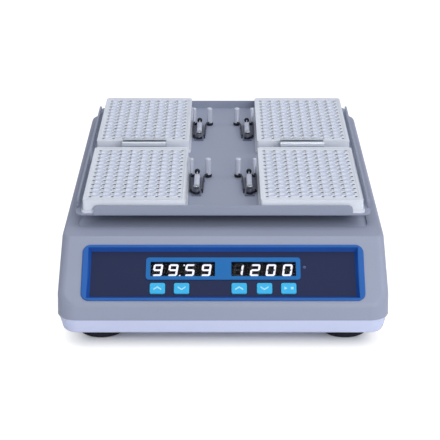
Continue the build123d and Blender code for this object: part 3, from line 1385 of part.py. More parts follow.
with BuildPart() as rocker_switch:
    with BuildSketch(Plane.YZ.offset(ROCKER_X - ROCKER_W / 2)):
        with Locations((HINGE_Y, POCKET_Z)):
            Circle(ROCKER_H / 2)
        with BuildLine():
            Polyline(
                (HINGE_Y + ROCKER_FACE, POCKET_Z),
                (HINGE_Y + ROCKER_FACE, POCKET_Z + ROCKER_H),
                (HINGE_Y + ROCKER_H, POCKET_Z + ROCKER_H),
                (HINGE_Y + ROCKER_H, POCKET_Z - ROCKER_H),
                (HINGE_Y + ROCKER_FACE + ROCKER_H * sin(radians(2 * ROCKER_TILT)), POCKET_Z - ROCKER_H),
                close=True,
            )
        make_face(mode=Mode.SUBTRACT)
        with Locations((HINGE_Y - ROCKER_BACK - ROCKER_H / 2, POCKET_Z)):
            Rectangle(ROCKER_H, 2 * ROCKER_H, mode=Mode.SUBTRACT)
    extrude(amount=ROCKER_W)
finish(rocker_switch.part, "rocker_switch")

with BuildPart() as power_jack:
    with BuildSketch(rear_plane(POCKET_FLOOR_IN + COVER_WALL)):
        with Locations((JACK_X, POCKET_Z)):
            Rectangle(JACK_BODY_W, JACK_BODY_W)
    extrude(amount=JACK_BODY_L)
    with BuildSketch(rear_plane(POCKET_FLOOR_IN - JACK_PROUD)):
        with Locations((JACK_X, POCKET_Z)):
            Circle(JACK_D / 2)
    extrude(amount=JACK_PROUD + COVER_WALL)
    with BuildSketch(rear_plane(POCKET_FLOOR_IN - JACK_PROUD)):
        with Locations((JACK_X, POCKET_Z)):
            Circle(JACK_BORE / 2)
            Circle(JACK_PIN_D / 2, mode=Mode.SUBTRACT)
    extrude(amount=JACK_BORE_L, mode=Mode.SUBTRACT)
finish(power_jack.part, "power_jack")

with BuildPart() as jack_nut:
    with BuildSketch(rear_plane(POCKET_FLOOR_IN)):
        with Locations((JACK_X, POCKET_Z)):
            RegularPolygon(JACK_NUT_W / 2, 6, major_radius=False)
            Circle(JACK_D / 2, mode=Mode.SUBTRACT)
    extrude(amount=-JACK_NUT_T)
finish(jack_nut.part, "jack_nut")
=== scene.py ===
import bpy
import json
from math import cos, pi, radians, sin, tan
from mathutils import Matrix, Vector

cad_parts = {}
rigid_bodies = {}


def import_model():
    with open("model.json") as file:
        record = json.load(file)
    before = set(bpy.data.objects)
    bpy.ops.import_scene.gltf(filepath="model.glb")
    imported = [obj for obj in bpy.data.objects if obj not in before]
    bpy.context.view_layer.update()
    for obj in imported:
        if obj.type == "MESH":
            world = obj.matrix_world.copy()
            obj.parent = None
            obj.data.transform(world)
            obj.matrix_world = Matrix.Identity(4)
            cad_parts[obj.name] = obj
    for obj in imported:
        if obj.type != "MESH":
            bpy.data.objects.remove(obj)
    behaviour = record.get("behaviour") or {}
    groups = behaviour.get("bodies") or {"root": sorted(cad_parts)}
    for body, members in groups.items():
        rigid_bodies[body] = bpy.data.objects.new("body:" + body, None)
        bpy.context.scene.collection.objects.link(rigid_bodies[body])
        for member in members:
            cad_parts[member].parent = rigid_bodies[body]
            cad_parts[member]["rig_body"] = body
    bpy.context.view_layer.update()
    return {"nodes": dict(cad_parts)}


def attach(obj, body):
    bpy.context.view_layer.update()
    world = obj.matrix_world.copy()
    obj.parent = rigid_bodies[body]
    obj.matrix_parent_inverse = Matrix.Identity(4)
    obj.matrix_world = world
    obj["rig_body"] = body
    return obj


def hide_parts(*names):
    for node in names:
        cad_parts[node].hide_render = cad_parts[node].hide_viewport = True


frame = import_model()

# The stage: a plain pale floor in a soft even room, with wide lamps above, in front and at the
# right. The camera sees the floor white further out, and near the housing it keeps its shadow.
MM = 0.001
FLOOR_SIZE = 8.0
SHADE_HALF_X = 104.0         # where the deepest shade under the housing ends
SHADE_HALF_Y = 158.0
SHADOW_FADE = 26.0           # from there to where the floor is plain white
WHITE = (1, 1, 1, 1)
WHITE_STRENGTH = 1.2         # of the white that only the camera sees
WHITE_SHARE = 0.85           # how much of it there is where the shade has faded
ROOM_COLOUR = (0.94, 0.96, 1.0, 1.0)
ROOM_LIGHT = 0.5
LAMPS = (                    # name, place, aimed at, size, watts
    ("lamp_above", (0.0, 0.1, 1.6), (0, 0, 0), 1.3, 8.0),
    ("lamp_front", (0.7, -1.8, 0.75), (0, 0, 0.05), 1.1, 17.5),
    ("lamp_right", (1.3, 0.1, 1.1), (0, 0, 0.05), 0.9, 5.5),
)
PHOTO_PIXELS = 440
FOCAL_PIXELS = 1432.0
SENSOR = 36.0
CAMERA_PLACE = Vector((0.84, -1172.7, 527.3)) * MM
CAMERA_DIP = radians(22.82)
CENTRE_OFFSET_PIXELS = 4.1
NEAREST = 0.05               # what the camera sees, in metres from it
FURTHEST = 50


def colour(red, green, blue):
    """A display colour, each part from 0 to 255, as the linear colour that a shader takes."""
    linear = []
    for part in (red, green, blue):
        share = part / 255
        linear.append(share / 12.92 if share <= 0.04045 else ((share + 0.055) / 1.055) ** 2.4)
    return (*linear, 1.0)


class Value:
    """A socket of a finish's nodes that can be reckoned with and compared."""

    def __init__(self, finish, socket):
        self.finish = finish
        self.socket = socket

    def maths(self, operation, *terms):
        """One Math node on these terms."""
        settings = {"operation": operation}
        return self.finish.node("ShaderNodeMath", settings, dict(enumerate(terms)))

    def __add__(self, other):
        return self.maths("ADD", self, other)

    __radd__ = __add__

    def __sub__(self, other):
        return self.maths("SUBTRACT", self, other)

    def __rsub__(self, other):
        return self.maths("SUBTRACT", other, self)

    def __mul__(self, other):
        return self.maths("MULTIPLY", self, other)

    __rmul__ = __mul__

    def __gt__(self, other):
        return self.maths("GREATER_THAN", self, other)

    def __lt__(self, other):
        return self.maths("LESS_THAN", self, other)

    def __abs__(self):
        return self.maths("ABSOLUTE", self)

    def root(self):
        return self.maths("SQRT", self)

    def wave(self):
        """The sine, from -1 to 1."""
        return self.maths("SINE", self)


class Finish:
    """One surface finish: a shader whose fixed inputs are set and whose varying ones are fed."""

    def __init__(self, name, **fixed):
        self.material = bpy.data.materials.new(name)
        self.material.use_nodes = True
        self.tree = self.material.node_tree
        self.shader = self.tree.nodes["Principled BSDF"]
        for socket, value in fixed.items():
            self.shader.inputs[socket.replace("_", " ")].default_value = value
        self.place = self.node("ShaderNodeTexCoord", out="Object")

    def node(self, kind, settings=None, inputs=None, out=0):
        """One node: its settings first, then the values or links of its sockets."""
        made = self.tree.nodes.new(kind)
        for key, value in (settings or {}).items():
            setattr(made, key, value)
        for key, value in (inputs or {}).items():
            if isinstance(value, Value):
                self.tree.links.new(value.socket, made.inputs[key])
            else:
                made.inputs[key].default_value = value
        return Value(self, made.outputs[out])

    def feed(self, socket, value):
        self.tree.links.new(value.socket, self.shader.inputs[socket])

    def noise(self, per_metre, detail=2.0, stretch=(1, 1, 1)):
        """Soft mottling from 0 to 1, with so many waves to the metre."""
        spread = self.node("ShaderNodeMapping", inputs={"Vector": self.place, "Scale": stretch})
        return self.node(
            "ShaderNodeTexNoise", inputs={"Vector": spread, "Scale": per_metre, "Detail": detail}
        )

    def blend(self, share, first, second):
        """The first colour where share is 0, the second where it is 1."""
        return self.node(
            "ShaderNodeMix", {"data_type": "RGBA"}, {0: share, 6: first, 7: second}, out=2
        )

    def relief(self, height, depth, strength):
        """A bump of so many metres that follows a height from 0 to 1."""
        return self.node(
            "ShaderNodeBump", inputs={"Height": height, "Distance": depth, "Strength": strength}
        )

    def rise(self, value, low, high):
        """0 below low, 1 above high and a straight rise between."""
        return self.node(
            "ShaderNodeMapRange", inputs={"Value": value, "From Min": low, "From Max": high}
        )

    def axis(self, name):
        """One coordinate of the surface, in metres."""
        return self.node("ShaderNodeSeparateXYZ", inputs={0: self.place}, out=name)


def put(piece, finish):
    """Give a whole piece one finish."""
    piece.data.materials.clear()
    piece.data.materials.append(finish.material)


bpy.ops.object.select_all(action="DESELECT")
bpy.ops.mesh.primitive_plane_add(size=FLOOR_SIZE, location=(0, 0, 0))
floor = bpy.context.object
floor.name = "floor"
floor_finish = Finish("floor_pale", Roughness=0.9)
floor_tone = floor_finish.blend(
    floor_finish.noise(3.0), colour(240, 241, 243), colour(245, 246, 248)
)
floor_finish.feed("Base Color", floor_tone)
floor_white = floor_finish.node(
    "ShaderNodeEmission", inputs={"Color": WHITE, "Strength": WHITE_STRENGTH}
)
seen = floor_finish.node("ShaderNodeLightPath", out="Is Camera Ray")


def beyond(axis_name, half):
    """How far a place on the floor lies outside the deepest shade along one axis."""
    past = abs(floor_finish.axis(axis_name)) - half * MM
    return past.maths("MAXIMUM", past, 0.0)


out_x = beyond("X", SHADE_HALF_X)
out_y = beyond("Y", SHADE_HALF_Y)
outside = (out_x * out_x + out_y * out_y).root()
glow = WHITE_SHARE * floor_finish.rise(outside, 0.0, SHADOW_FADE * MM)
floor_plain = Value(floor_finish, floor_finish.shader.outputs[0])
floor_mix = floor_finish.node(
    "ShaderNodeMixShader", inputs={0: seen * glow, 1: floor_plain, 2: floor_white}
)
floor_output = floor_finish.tree.nodes["Material Output"]
floor_finish.tree.links.new(floor_mix.socket, floor_output.inputs["Surface"])
put(floor, floor_finish)

world = bpy.data.worlds.new("soft_room")
bpy.context.scene.world = world
world.use_nodes = True
room = world.node_tree
room_light = room.nodes["Background"]
room_light.inputs["Color"].default_value = ROOM_COLOUR
room_light.inputs["Strength"].default_value = ROOM_LIGHT
room_white = room.nodes.new("ShaderNodeBackground")
room_white.inputs["Color"].default_value = WHITE
room_ray = room.nodes.new("ShaderNodeLightPath")
room_mix = room.nodes.new("ShaderNodeMixShader")
room.links.new(room_ray.outputs["Is Camera Ray"], room_mix.inputs[0])
room.links.new(room_light.outputs[0], room_mix.inputs[1])
room.links.new(room_white.outputs[0], room_mix.inputs[2])
room.links.new(room_mix.outputs[0], room.nodes["World Output"].inputs["Surface"])

for lamp_name, place, target, size, watts in LAMPS:
    bpy.ops.object.light_add(type="AREA", location=place)
    lamp = bpy.context.object
    lamp.name = lamp_name
    lamp.data.size = size
    lamp.data.energy = watts
    lamp.rotation_euler = (Vector(target) - Vector(place)).to_track_quat("-Z", "Y").to_euler()

bpy.ops.object.camera_add(location=CAMERA_PLACE, rotation=(pi / 2 - CAMERA_DIP, 0, 0))
camera = bpy.context.object
camera.data.sensor_width = SENSOR
camera.data.lens = FOCAL_PIXELS * SENSOR / PHOTO_PIXELS
camera.data.shift_x = -CENTRE_OFFSET_PIXELS / PHOTO_PIXELS
camera.data.clip_start = NEAREST
camera.data.clip_end = FURTHEST
bpy.context.scene.camera = camera
bpy.context.scene.view_settings.view_transform = "Standard"

# Feet: four moulded discs of black rubber with a rounded lower edge, each counterbored for
# its screw. The rubber is dull, a little mottled and finely pitted.
ROUND_ANGLE = radians(28)    # faces that meet more sharply keep an edge
WELD = 0.001                 # corners nearer than this are one


def only(piece):
    """Make one piece the selected and active one."""
    bpy.ops.object.select_all(action="DESELECT")
    piece.select_set(True)
    bpy.context.view_layer.objects.active = piece


def dressed(node, finish):
    """A welded copy of a CAD node that shades smoothly where it is round."""
    source = frame["nodes"][node]
    piece = bpy.data.objects.new(node + "_made", source.data.copy())
    bpy.context.scene.collection.objects.link(piece)
    only(piece)
    bpy.ops.object.mode_set(mode="EDIT")
    bpy.ops.mesh.select_all(action="SELECT")
    bpy.ops.mesh.remove_doubles(threshold=WELD * MM)
    bpy.ops.object.mode_set(mode="OBJECT")
    bpy.ops.object.shade_smooth_by_angle(angle=ROUND_ANGLE)
    even = piece.modifiers.new("even_faces", "WEIGHTED_NORMAL")
    even.keep_sharp = True
    bpy.ops.object.modifier_apply(modifier=even.name)
    put(piece, finish)
    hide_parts(node)
    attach(piece, source["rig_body"])
    return piece


rubber = Finish("rubber_black", Specular_IOR_Level=0.3)
rubber_mottle = rubber.noise(220, 4)
rubber.feed("Base Color", rubber.blend(rubber_mottle, colour(14, 16, 26), colour(26, 28, 40)))
rubber.feed("Roughness", 0.6 + 0.25 * rubber_mottle)
rubber.feed("Normal", rubber.relief(rubber.noise(2600), 0.05 * MM, 0.6))
dressed("rubber_feet", rubber)

# Screws: zinc-plated steel with a flat cross-slotted head. One set holds the feet and the
# cover from below, one the panel and its board, and one everything on the chassis.
zinc = Finish("zinc_plate", Metallic=1.0)
zinc_mottle = zinc.noise(400, 3)
zinc.feed("Base Color", zinc.blend(zinc_mottle, colour(168, 172, 180), colour(204, 206, 210)))
zinc.feed("Roughness", 0.25 + 0.2 * zinc_mottle)
zinc.feed("Normal", zinc.relief(zinc.noise(3000), 0.01 * MM, 0.5))
for node in ("pan_screws", "face_screws", "inside_screws"):
    dressed(node, zinc)


# Bottom pan: one pale blue-grey moulding with drafted walls, a rounded bottom edge and
# bosses inside. The satin surface has a fine spark-eroded grain.
def moulded(name, dark, light, dull, grain=0.02, shine=0.4):
    """Moulded plastic: slow flow marks in the colour, a fine grain and faintly uneven gloss."""
    made = Finish(name, Specular_IOR_Level=shine)
    flow = made.noise(9, 3, (1, 1, 2.5))
    speck = made.noise(900)
    made.tone = made.blend(flow * 0.75 + speck * 0.25, dark, light)
    made.feed("Base Color", made.tone)
    made.feed("Roughness", dull - 0.06 + 0.12 * made.noise(30, 4))
    made.feed("Normal", made.relief(made.noise(3200, 1), grain * MM, 0.35))
    return made


pan_plastic = moulded("pan_plastic", colour(190, 196, 224), colour(200, 207, 234), 0.45)
dressed("bottom_pan", pan_plastic)

# Top cover: one grey moulding with a level top, a shallow recess under the tray, collared
# holes for four posts and a sloped control face. It sits over the pan's tongue.
COVER_TOP = 74.5
RECESS_BELOW = 0.3           # all that lies so far under the top is the recess
TRAY_Y = 26.5                # middle of the tray and of the recess under it
RECESS_HALF_X = 117.0
RECESS_HALF_Y = 137.0
RECESS_FADE = 18.0           # how far in from the edge its floor is painted paler: painted light
cover_plastic = moulded("cover_plastic", colour(140, 147, 168), colour(150, 157, 178), 0.5)


def inside(finish, axis_name, middle, half):
    """How far a place lies inside a pair of edges that stand half a width from their middle."""
    return half * MM - abs(finish.axis(axis_name) - middle * MM)


from_side = inside(cover_plastic, "X", 0, RECESS_HALF_X)
from_front = inside(cover_plastic, "Y", TRAY_Y, RECESS_HALF_Y)
from_lip = from_side.maths("MINIMUM", from_side, from_front)
in_recess = (from_lip > 0.0) * (cover_plastic.axis("Z") < (COVER_TOP - RECESS_BELOW) * MM)
# The recess floor is painted paler near its edges: painted light where light reaches in under the
# tray.
recess_painted_light = in_recess * cover_plastic.rise(from_lip, RECESS_FADE * MM, 0.0)
cover_tone = cover_plastic.blend(recess_painted_light, cover_plastic.tone, colour(196, 203, 224))
cover_plastic.feed("Base Color", cover_tone)
dressed("top_cover", cover_plastic)

# Control face frame: a smooth blue moulding pressed into the cover, with a bevel that
# runs down to the panel. The bevel is painted a darker blue than the top: painted shade.
SLOPE = radians(39.4)
FACE_CENTRE = Vector((0, -154.604, 54.125)) * MM    # middle of the cover's slope
FACE_OUT = Vector((0, -sin(SLOPE), cos(SLOPE)))
FACE_TURN = Matrix.Translation(FACE_CENTRE) @ Matrix.Rotation(SLOPE, 4, "X")
BEVEL_END = 0.35             # heights over the slope between which the bevel's painted shade, a darker blue, gives way to the flat top's
FLAT_FROM = 0.75             # gives way to the flat top's

frame_plastic = Finish("frame_plastic", Specular_IOR_Level=0.2)
above_face = frame_plastic.node(
    "ShaderNodeVectorMath",
    {"operation": "DOT_PRODUCT"},
    {0: frame_plastic.place, 1: tuple(FACE_OUT)},
    out="Value",
)
face_level = FACE_CENTRE.dot(FACE_OUT)
flat_top = frame_plastic.rise(
    above_face, face_level + BEVEL_END * MM, face_level + FLAT_FROM * MM
)
frame_mottle = frame_plastic.noise(60, 3)
# The bevel's darker blue is painted shade; the plastic is the same as the top's.
bevel_painted_shade = frame_plastic.blend(frame_mottle, colour(10, 64, 142), colour(16, 72, 156))
top_tone = frame_plastic.blend(frame_mottle, colour(34, 90, 162), colour(42, 97, 173))
frame_plastic.feed("Base Color", frame_plastic.blend(flat_top, bevel_painted_shade, top_tone))
frame_plastic.feed("Roughness", 0.36 + 0.12 * frame_plastic.noise(30, 4))
frame_plastic.feed("Normal", frame_plastic.relief(frame_plastic.noise(3200, 1), 0.01 * MM, 0.3))
dressed("panel_frame", frame_plastic)

# Panel: a navy printed film over a stiff plate, screwed to the frame from behind, with a
# mid-blue printed surround round its two windows.
panel_film = moulded("panel_film", colour(31, 39, 71), colour(37, 45, 79), 0.55, shine=0.15)
dressed("control_panel", panel_film)
surround_film = moulded(
    "surround_film", colour(30, 101, 166), colour(37, 107, 174), 0.5, shine=0.15
)
dressed("display_surround", surround_film)

# Windows: two smoked clear lenses, let into the panel just under its front. Behind each a
# black module carries four seven-segment digits and their points.
lens = Finish("lens_smoked", Roughness=0.06, Specular_IOR_Level=0.2)
lens_haze = lens.noise(80, 3)
lens.feed("Base Color", lens.blend(lens_haze, colour(6, 7, 14), colour(12, 13, 22)))
lens.feed("Alpha", 0.14 + 0.04 * lens_haze)
put(frame["nodes"]["display_windows"], lens)

module_black = moulded("module_black", colour(8, 9, 14), colour(15, 16, 22), 0.6, shine=0.1)
dressed("digit_displays", module_black)

MODULE_FRONT = -4.2          # the module's front, out along the slope's normal
DIGIT_W = 7.5
DIGIT_H = 10.4
STROKE = 1.6
DIGIT_SLANT = tan(radians(8))
DIGIT_Y = 4.2                # up the slope from its middle
SEGMENT_T = 0.05
SEGMENT_DEPTH = MODULE_FRONT + SEGMENT_T / 2
SEGMENT_LAP = 0.5            # how much longer a segment is than the step between corners
SEGMENTS = {                 # centre across, centre up, whether it stands
    "a": (0, 1, False), "g": (0, 0, False), "d": (0, -1, False),
    "f": (-1, 0.5, True), "b": (1, 0.5, True), "e": (-1, -0.5, True), "c": (1, -0.5, True),
}
LIT = {"0": "abcdef", "1": "bc", "2": "abdeg", "5": "acdfg", "9": "abcdfg"}
DIGITS = (                   # place across, figure
    (-51.4, "9"), (-39.3, "9"), (-26.1, "5"), (-13.2, "9"),
    (12.1, "1"), (25.3, "2"), (37.7, "0"), (50.7, "0"),
)
POINTS = ((-34.1, -0.6), (-30.6, 8.5))    # place across, place up the slope
POINT_D = 1.3


def slope_place(x, y, depth):
    """Move from the slope's own coordinates, in millimetres, to the shared frame."""
    return FACE_TURN @ Matrix.Translation(Vector((x, y, depth)) * MM)


def copy_of(piece, name, matrix):
    """A copy with its own mesh, moved by a matrix."""
    made = bpy.data.objects.new(name, piece.data.copy())
    bpy.context.scene.collection.objects.link(made)
    made.data.transform(matrix)
    return made


def joined(pieces, name, finish, body):
    """Join like pieces into one that rides on a body."""
    bpy.ops.object.select_all(action="DESELECT")
    for piece in pieces:
        piece.select_set(True)
    bpy.context.view_layer.objects.active = pieces[0]
    if len(pieces) > 1:
        bpy.ops.object.join()
    whole = bpy.context.object
    whole.name = name
    put(whole, finish)
    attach(whole, body)


def bar(length, width, thick):
    """A flat bar with pointed ends, centred and lying along x, in metres."""
    tip = width / 3 ** 0.5   # from the hexagon's middle to its corner
    bpy.ops.object.select_all(action="DESELECT")
    bpy.ops.mesh.primitive_cylinder_add(
        vertices=6, radius=tip, depth=thick, rotation=(0, 0, pi / 2)
    )
    made = bpy.context.object
    bpy.ops.object.transform_apply(location=True, rotation=True, scale=True)
    for side in (-1, 1):
        for vertex in made.data.vertices:
            if vertex.co.x * side > width / 10:
                vertex.co.x += side * (length / 2 - tip)
    return made


upright = Matrix.Rotation(pi / 2, 4, "Z")
slant = Matrix(((1, DIGIT_SLANT, 0, 0), (0, 1, 0, 0), (0, 0, 1, 0), (0, 0, 0, 1)))
reach_x = (DIGIT_W - STROKE) / 2
reach_y = (DIGIT_H - STROKE) / 2
level_bar = bar((2 * reach_x + SEGMENT_LAP) * MM, STROKE * MM, SEGMENT_T * MM)
upright_bar = bar((reach_y + SEGMENT_LAP) * MM, STROKE * MM, SEGMENT_T * MM)
lit_bars = []
dark_bars = []
for digit_x, figure in DIGITS:
    for letter, (across, up, stands) in SEGMENTS.items():
        spot = Matrix.Translation(Vector((across * reach_x, up * reach_y, 0)) * MM)
        place = slope_place(digit_x, DIGIT_Y, SEGMENT_DEPTH) @ slant @ spot
        if stands:
            made = copy_of(upright_bar, "segment", place @ upright)
        else:
            made = copy_of(level_bar, "segment", place)
        (lit_bars if letter in LIT[figure] else dark_bars).append(made)
bpy.ops.object.select_all(action="DESELECT")
bpy.ops.mesh.primitive_cylinder_add(vertices=20, radius=POINT_D / 2 * MM, depth=SEGMENT_T * MM)
point = bpy.context.object
for point_x, point_y in POINTS:
    lit_bars.append(copy_of(point, "point", slope_place(point_x, point_y, SEGMENT_DEPTH)))
for source in (level_bar, upright_bar, point):
    bpy.data.objects.remove(source)

lit = Finish("segment_lit", Roughness=0.5, Emission_Strength=1.0)
lit_tone = lit.blend(lit.noise(300), colour(226, 228, 245), colour(240, 242, 255))
lit.feed("Base Color", lit_tone)
lit.feed("Emission Color", lit_tone)
joined(lit_bars, "segments_lit", lit, "housing")
dark = Finish("segment_dark", Roughness=0.5)
dark.feed("Base Color", dark.blend(dark.noise(300), colour(20, 20, 26), colour(27, 27, 34)))
joined(dark_bars, "segments_dark", dark, "housing")

# Keys: five light-blue moulded caps through the panel. Four carry a pale printed chevron
# and the fifth a start arrow beside a stop square.
KEY_FRONT = -1.7             # the caps' front, out along the slope's normal
KEY_Y = -12.6                # up the slope from its middle
MARK_T = 0.04
CHEVRON_W = 6.2
CHEVRON_RISE = 2.1
CHEVRON_STROKE = 1.3
ARROW_R = 1.6
ARROW_X = -2.6               # from the key's middle
SQUARE_R = 1.5
SQUARE_X = 2.7
KEYS = (                     # name, place across, mark
    ("key_time_up", -51.3, "up"),
    ("key_time_down", -32.4, "down"),
    ("key_speed_up", 12.6, "up"),
    ("key_speed_down", 32.4, "down"),
    ("key_start_stop", 51.3, "both"),
)
key_plastic = Finish("key_plastic", Specular_IOR_Level=0.2)
key_mottle = key_plastic.noise(140, 3)
key_tone = key_plastic.blend(key_mottle, colour(54, 168, 217), colour(62, 179, 229))
key_plastic.feed("Base Color", key_tone)
key_plastic.feed("Roughness", 0.34 + 0.12 * key_mottle)
key_plastic.feed("Normal", key_plastic.relief(key_plastic.noise(3000, 1), 0.015 * MM, 0.4))

mark_print = Finish("mark_print", Roughness=0.5)
mark_tone = mark_print.blend(mark_print.noise(500), colour(150, 212, 242), colour(164, 220, 246))
mark_print.feed("Base Color", mark_tone)


def chevron(way):
    """A flat V-shaped stroke, its tip up for 1 and down for -1."""
    bpy.ops.object.select_all(action="DESELECT")
    bpy.ops.mesh.primitive_cube_add(
        size=1, scale=(CHEVRON_W * MM, CHEVRON_STROKE * MM, MARK_T * MM)
    )
    made = bpy.context.object
    bpy.ops.object.transform_apply(location=True, rotation=True, scale=True)
    bpy.ops.object.mode_set(mode="EDIT")
    bpy.ops.mesh.select_all(action="SELECT")
    bpy.ops.mesh.bisect(plane_co=(0, 0, 0), plane_no=(1, 0, 0))
    bpy.ops.object.mode_set(mode="OBJECT")
    for vertex in made.data.vertices:
        share = 1 - abs(vertex.co.x) / (CHEVRON_W / 2 * MM)
        vertex.co.y += way * CHEVRON_RISE * MM * (share - 0.5)
    return made


def flat_mark(vertices, radius, turn):
    """A small flat regular figure."""
    bpy.ops.object.select_all(action="DESELECT")
    bpy.ops.mesh.primitive_cylinder_add(
        vertices=vertices, radius=radius * MM, depth=MARK_T * MM, rotation=(0, 0, turn)
    )
    made = bpy.context.object
    bpy.ops.object.transform_apply(location=True, rotation=True, scale=True)
    return made


for key_name, key_x, mark in KEYS:
    dressed(key_name, key_plastic)
    if mark == "both":
        arrow = flat_mark(3, ARROW_R, -pi / 2)
        arrow.data.transform(Matrix.Translation(Vector((ARROW_X, 0, 0)) * MM))
        square = flat_mark(4, SQUARE_R, pi / 4)
        square.data.transform(Matrix.Translation(Vector((SQUARE_X, 0, 0)) * MM))
        marks = [arrow, square]
    else:
        marks = [chevron(1 if mark == "up" else -1)]
    for made in marks:
        made.data.transform(slope_place(key_x, KEY_Y, KEY_FRONT + MARK_T / 2))
    joined(marks, key_name + "_mark", mark_print, key_name)

# Run lamp: a small moulded dome of tinted plastic, soldered to the display board, that shows
# through a hole in the panel. It is unlit.
lamp_dome = Finish("lamp_dome", Roughness=0.3, Specular_IOR_Level=0.2)
dome_tone = lamp_dome.blend(lamp_dome.noise(400), colour(66, 76, 118), colour(82, 92, 136))
lamp_dome.feed("Base Color", dome_tone)
dressed("run_lamp", lamp_dome)

# Rear fittings: a black rocker in its snap-in housing, and a low-voltage jack held by a
# zinc-plated nut, both on the floor of the rear pocket.
black_plastic = moulded("black_plastic", colour(20, 21, 24), colour(34, 35, 39), 0.5, 0.05)
for node in ("rocker_housing", "rocker_switch", "power_jack"):
    dressed(node, black_plastic)
dressed("jack_nut", zinc)

# Boards inside: green glass-fibre boards with copper tracks under the lacquer. The larger
# components on the control board are dark mouldings, and a grey ribbon cable joins the boards.
COMPONENTS_FROM = 23.7       # just over the control board's lacquer
TRACKS_PER_METRE = 260.0
TRACK_WIDTH = 0.06           # as a share of the step between tracks
STRAND_WAVE = 4947.0         # radians to the metre: a strand each 1.27 mm


def lacquered(name):
    """A board's lacquer, darker along its tracks."""
    made = Finish(name, Specular_IOR_Level=0.5)
    tracks = made.node(
        "ShaderNodeTexVoronoi",
        {"feature": "DISTANCE_TO_EDGE", "distance": "MANHATTAN"},
        {"Vector": made.place, "Scale": TRACKS_PER_METRE},
    )
    made.tone = made.blend(tracks < TRACK_WIDTH, colour(22, 92, 50), colour(40, 122, 66))
    made.feed("Base Color", made.tone)
    made.feed("Roughness", 0.35 + 0.2 * made.noise(200))
    return made


dressed("display_board", lacquered("board_green"))
stuffed = lacquered("board_stuffed")
component_tone = stuffed.blend(stuffed.noise(300), colour(22, 22, 25), colour(40, 40, 44))
on_board = stuffed.axis("Z") > COMPONENTS_FROM * MM
stuffed.feed("Base Color", stuffed.blend(on_board, stuffed.tone, component_tone))
dressed("control_board", stuffed)
dressed("key_switches", black_plastic)

ribbon = Finish("ribbon_grey", Roughness=0.55)
strands = (ribbon.axis("X") * STRAND_WAVE).wave()
ribbon_tone = ribbon.blend(strands * 0.5 + 0.5, colour(128, 130, 134), colour(178, 180, 184))
ribbon.feed("Base Color", ribbon_tone)
ribbon.feed("Normal", ribbon.relief(strands, 0.1 * MM, 0.5))
dressed("ribbon_cable", ribbon)

# Drive: a zinc-plated steel chassis, aluminium bearing housings, carriage and pulleys, ground
# steel cranks and ball bearings, a brass counterweight, a black motor and a flat rubber belt.
DRIVE_AXIS = (0, 25)
MOTOR_AXIS = (48, 58)
RING_WAVE = 9000.0           # radians to the metre: a tool ring each 0.7 mm
ACROSS_X = (1, 60, 60)       # grain that runs along x
ALONG_Y = (60, 1, 60)
UP_Z = (60, 60, 1)


def turned_metal(name, centre, dark, light, dull):
    """Turned metal: fine tool rings round an upright axis, in the colour and the surface."""
    made = Finish(name, Metallic=1.0)
    across = made.axis("X") - centre[0] * MM
    along = made.axis("Y") - centre[1] * MM
    rings = ((across * across + along * along).root() * RING_WAVE).wave()
    made.feed("Base Color", made.blend(made.noise(150, 3) * 0.7 + rings * 0.15, dark, light))
    made.feed("Roughness", dull + 0.08 * rings)
    made.feed("Normal", made.relief(rings, 0.01 * MM, 0.5))
    return made


def brushed_metal(name, dark, light, dull, grain):
    """Sheet or ground metal with fine lines along one way."""
    made = Finish(name, Metallic=1.0)
    lines = made.noise(40, 4, grain)
    made.feed("Base Color", made.blend(lines, dark, light))
    made.feed("Roughness", dull - 0.08 + 0.16 * lines)
    made.feed("Normal", made.relief(lines, 0.02 * MM, 0.4))
    return made


chassis_zinc = brushed_metal(
    "chassis_zinc", colour(150, 155, 160), colour(190, 193, 196), 0.4, ALONG_Y
)
dressed("chassis_plate", chassis_zinc)
machined = brushed_metal(
    "machined_alu", colour(164, 167, 172), colour(200, 202, 206), 0.38, ACROSS_X
)
for node in ("bearing_housings", "carriage", "carriage_posts"):
    dressed(node, machined)
ground = brushed_metal("ground_steel", colour(140, 143, 148), colour(186, 188, 192), 0.28, UP_Z)
for node in ("shaft_bearings", "carriage_bearings", "drive_crank"):
    dressed(node, ground)
for number in (1, 2, 3):
    dressed(f"idler_crank_{number}", ground)
for node, finish_name, centre in (
    ("crank_pulley", "pulley_alu", DRIVE_AXIS),
    ("motor_pulley", "motor_pulley_alu", MOTOR_AXIS),
):
    turned = turned_metal(finish_name, centre, colour(164, 167, 172), colour(204, 206, 210), 0.3)
    dressed(node, turned)
brass = turned_metal("weight_brass", DRIVE_AXIS, colour(176, 140, 66), colour(206, 172, 92), 0.3)
dressed("counterweight", brass)
motor_black = Finish("motor_black", Specular_IOR_Level=0.5)
motor_speck = motor_black.noise(700, 3)
motor_tone = motor_black.blend(motor_speck, colour(20, 20, 23), colour(36, 36, 40))
motor_black.feed("Base Color", motor_tone)
motor_black.feed("Roughness", 0.35 + 0.2 * motor_speck)
motor_black.feed("Normal", motor_black.relief(motor_speck, 0.04 * MM, 0.5))
dressed("drive_motor", motor_black)
dressed("drive_belt", rubber)

# Tray: sheet steel with four upturned flanges and open corners, powder-coated grey. Four
# countersunk screws fix it to the posts.
FLANGE_FROM = 100.0          # no side flange stands nearer to the middle
FACES_IN = 0.7               # how far a flange's inner face looks towards the middle


def powder_coat(name, dark, light):
    """Powder coat: an orange-peel surface and a slow drift in its colour."""
    made = Finish(name, Specular_IOR_Level=0.35)
    orange_peel = made.noise(1100, 3)
    drift = made.noise(7, 3)
    made.feed("Base Color", made.blend(drift * 0.7 + orange_peel * 0.3, dark, light))
    made.feed("Roughness", 0.45 + 0.15 * drift)
    made.feed("Normal", made.relief(orange_peel, 0.06 * MM, 0.35))
    return made


def by_face(piece, finishes, choose):
    """Give each face the finish whose number its centre, in millimetres, and its normal choose."""
    piece.data.materials.clear()
    for finish in finishes:
        piece.data.materials.append(finish.material)
    for face in piece.data.polygons:
        face.material_index = choose(face.center / MM, face.normal)


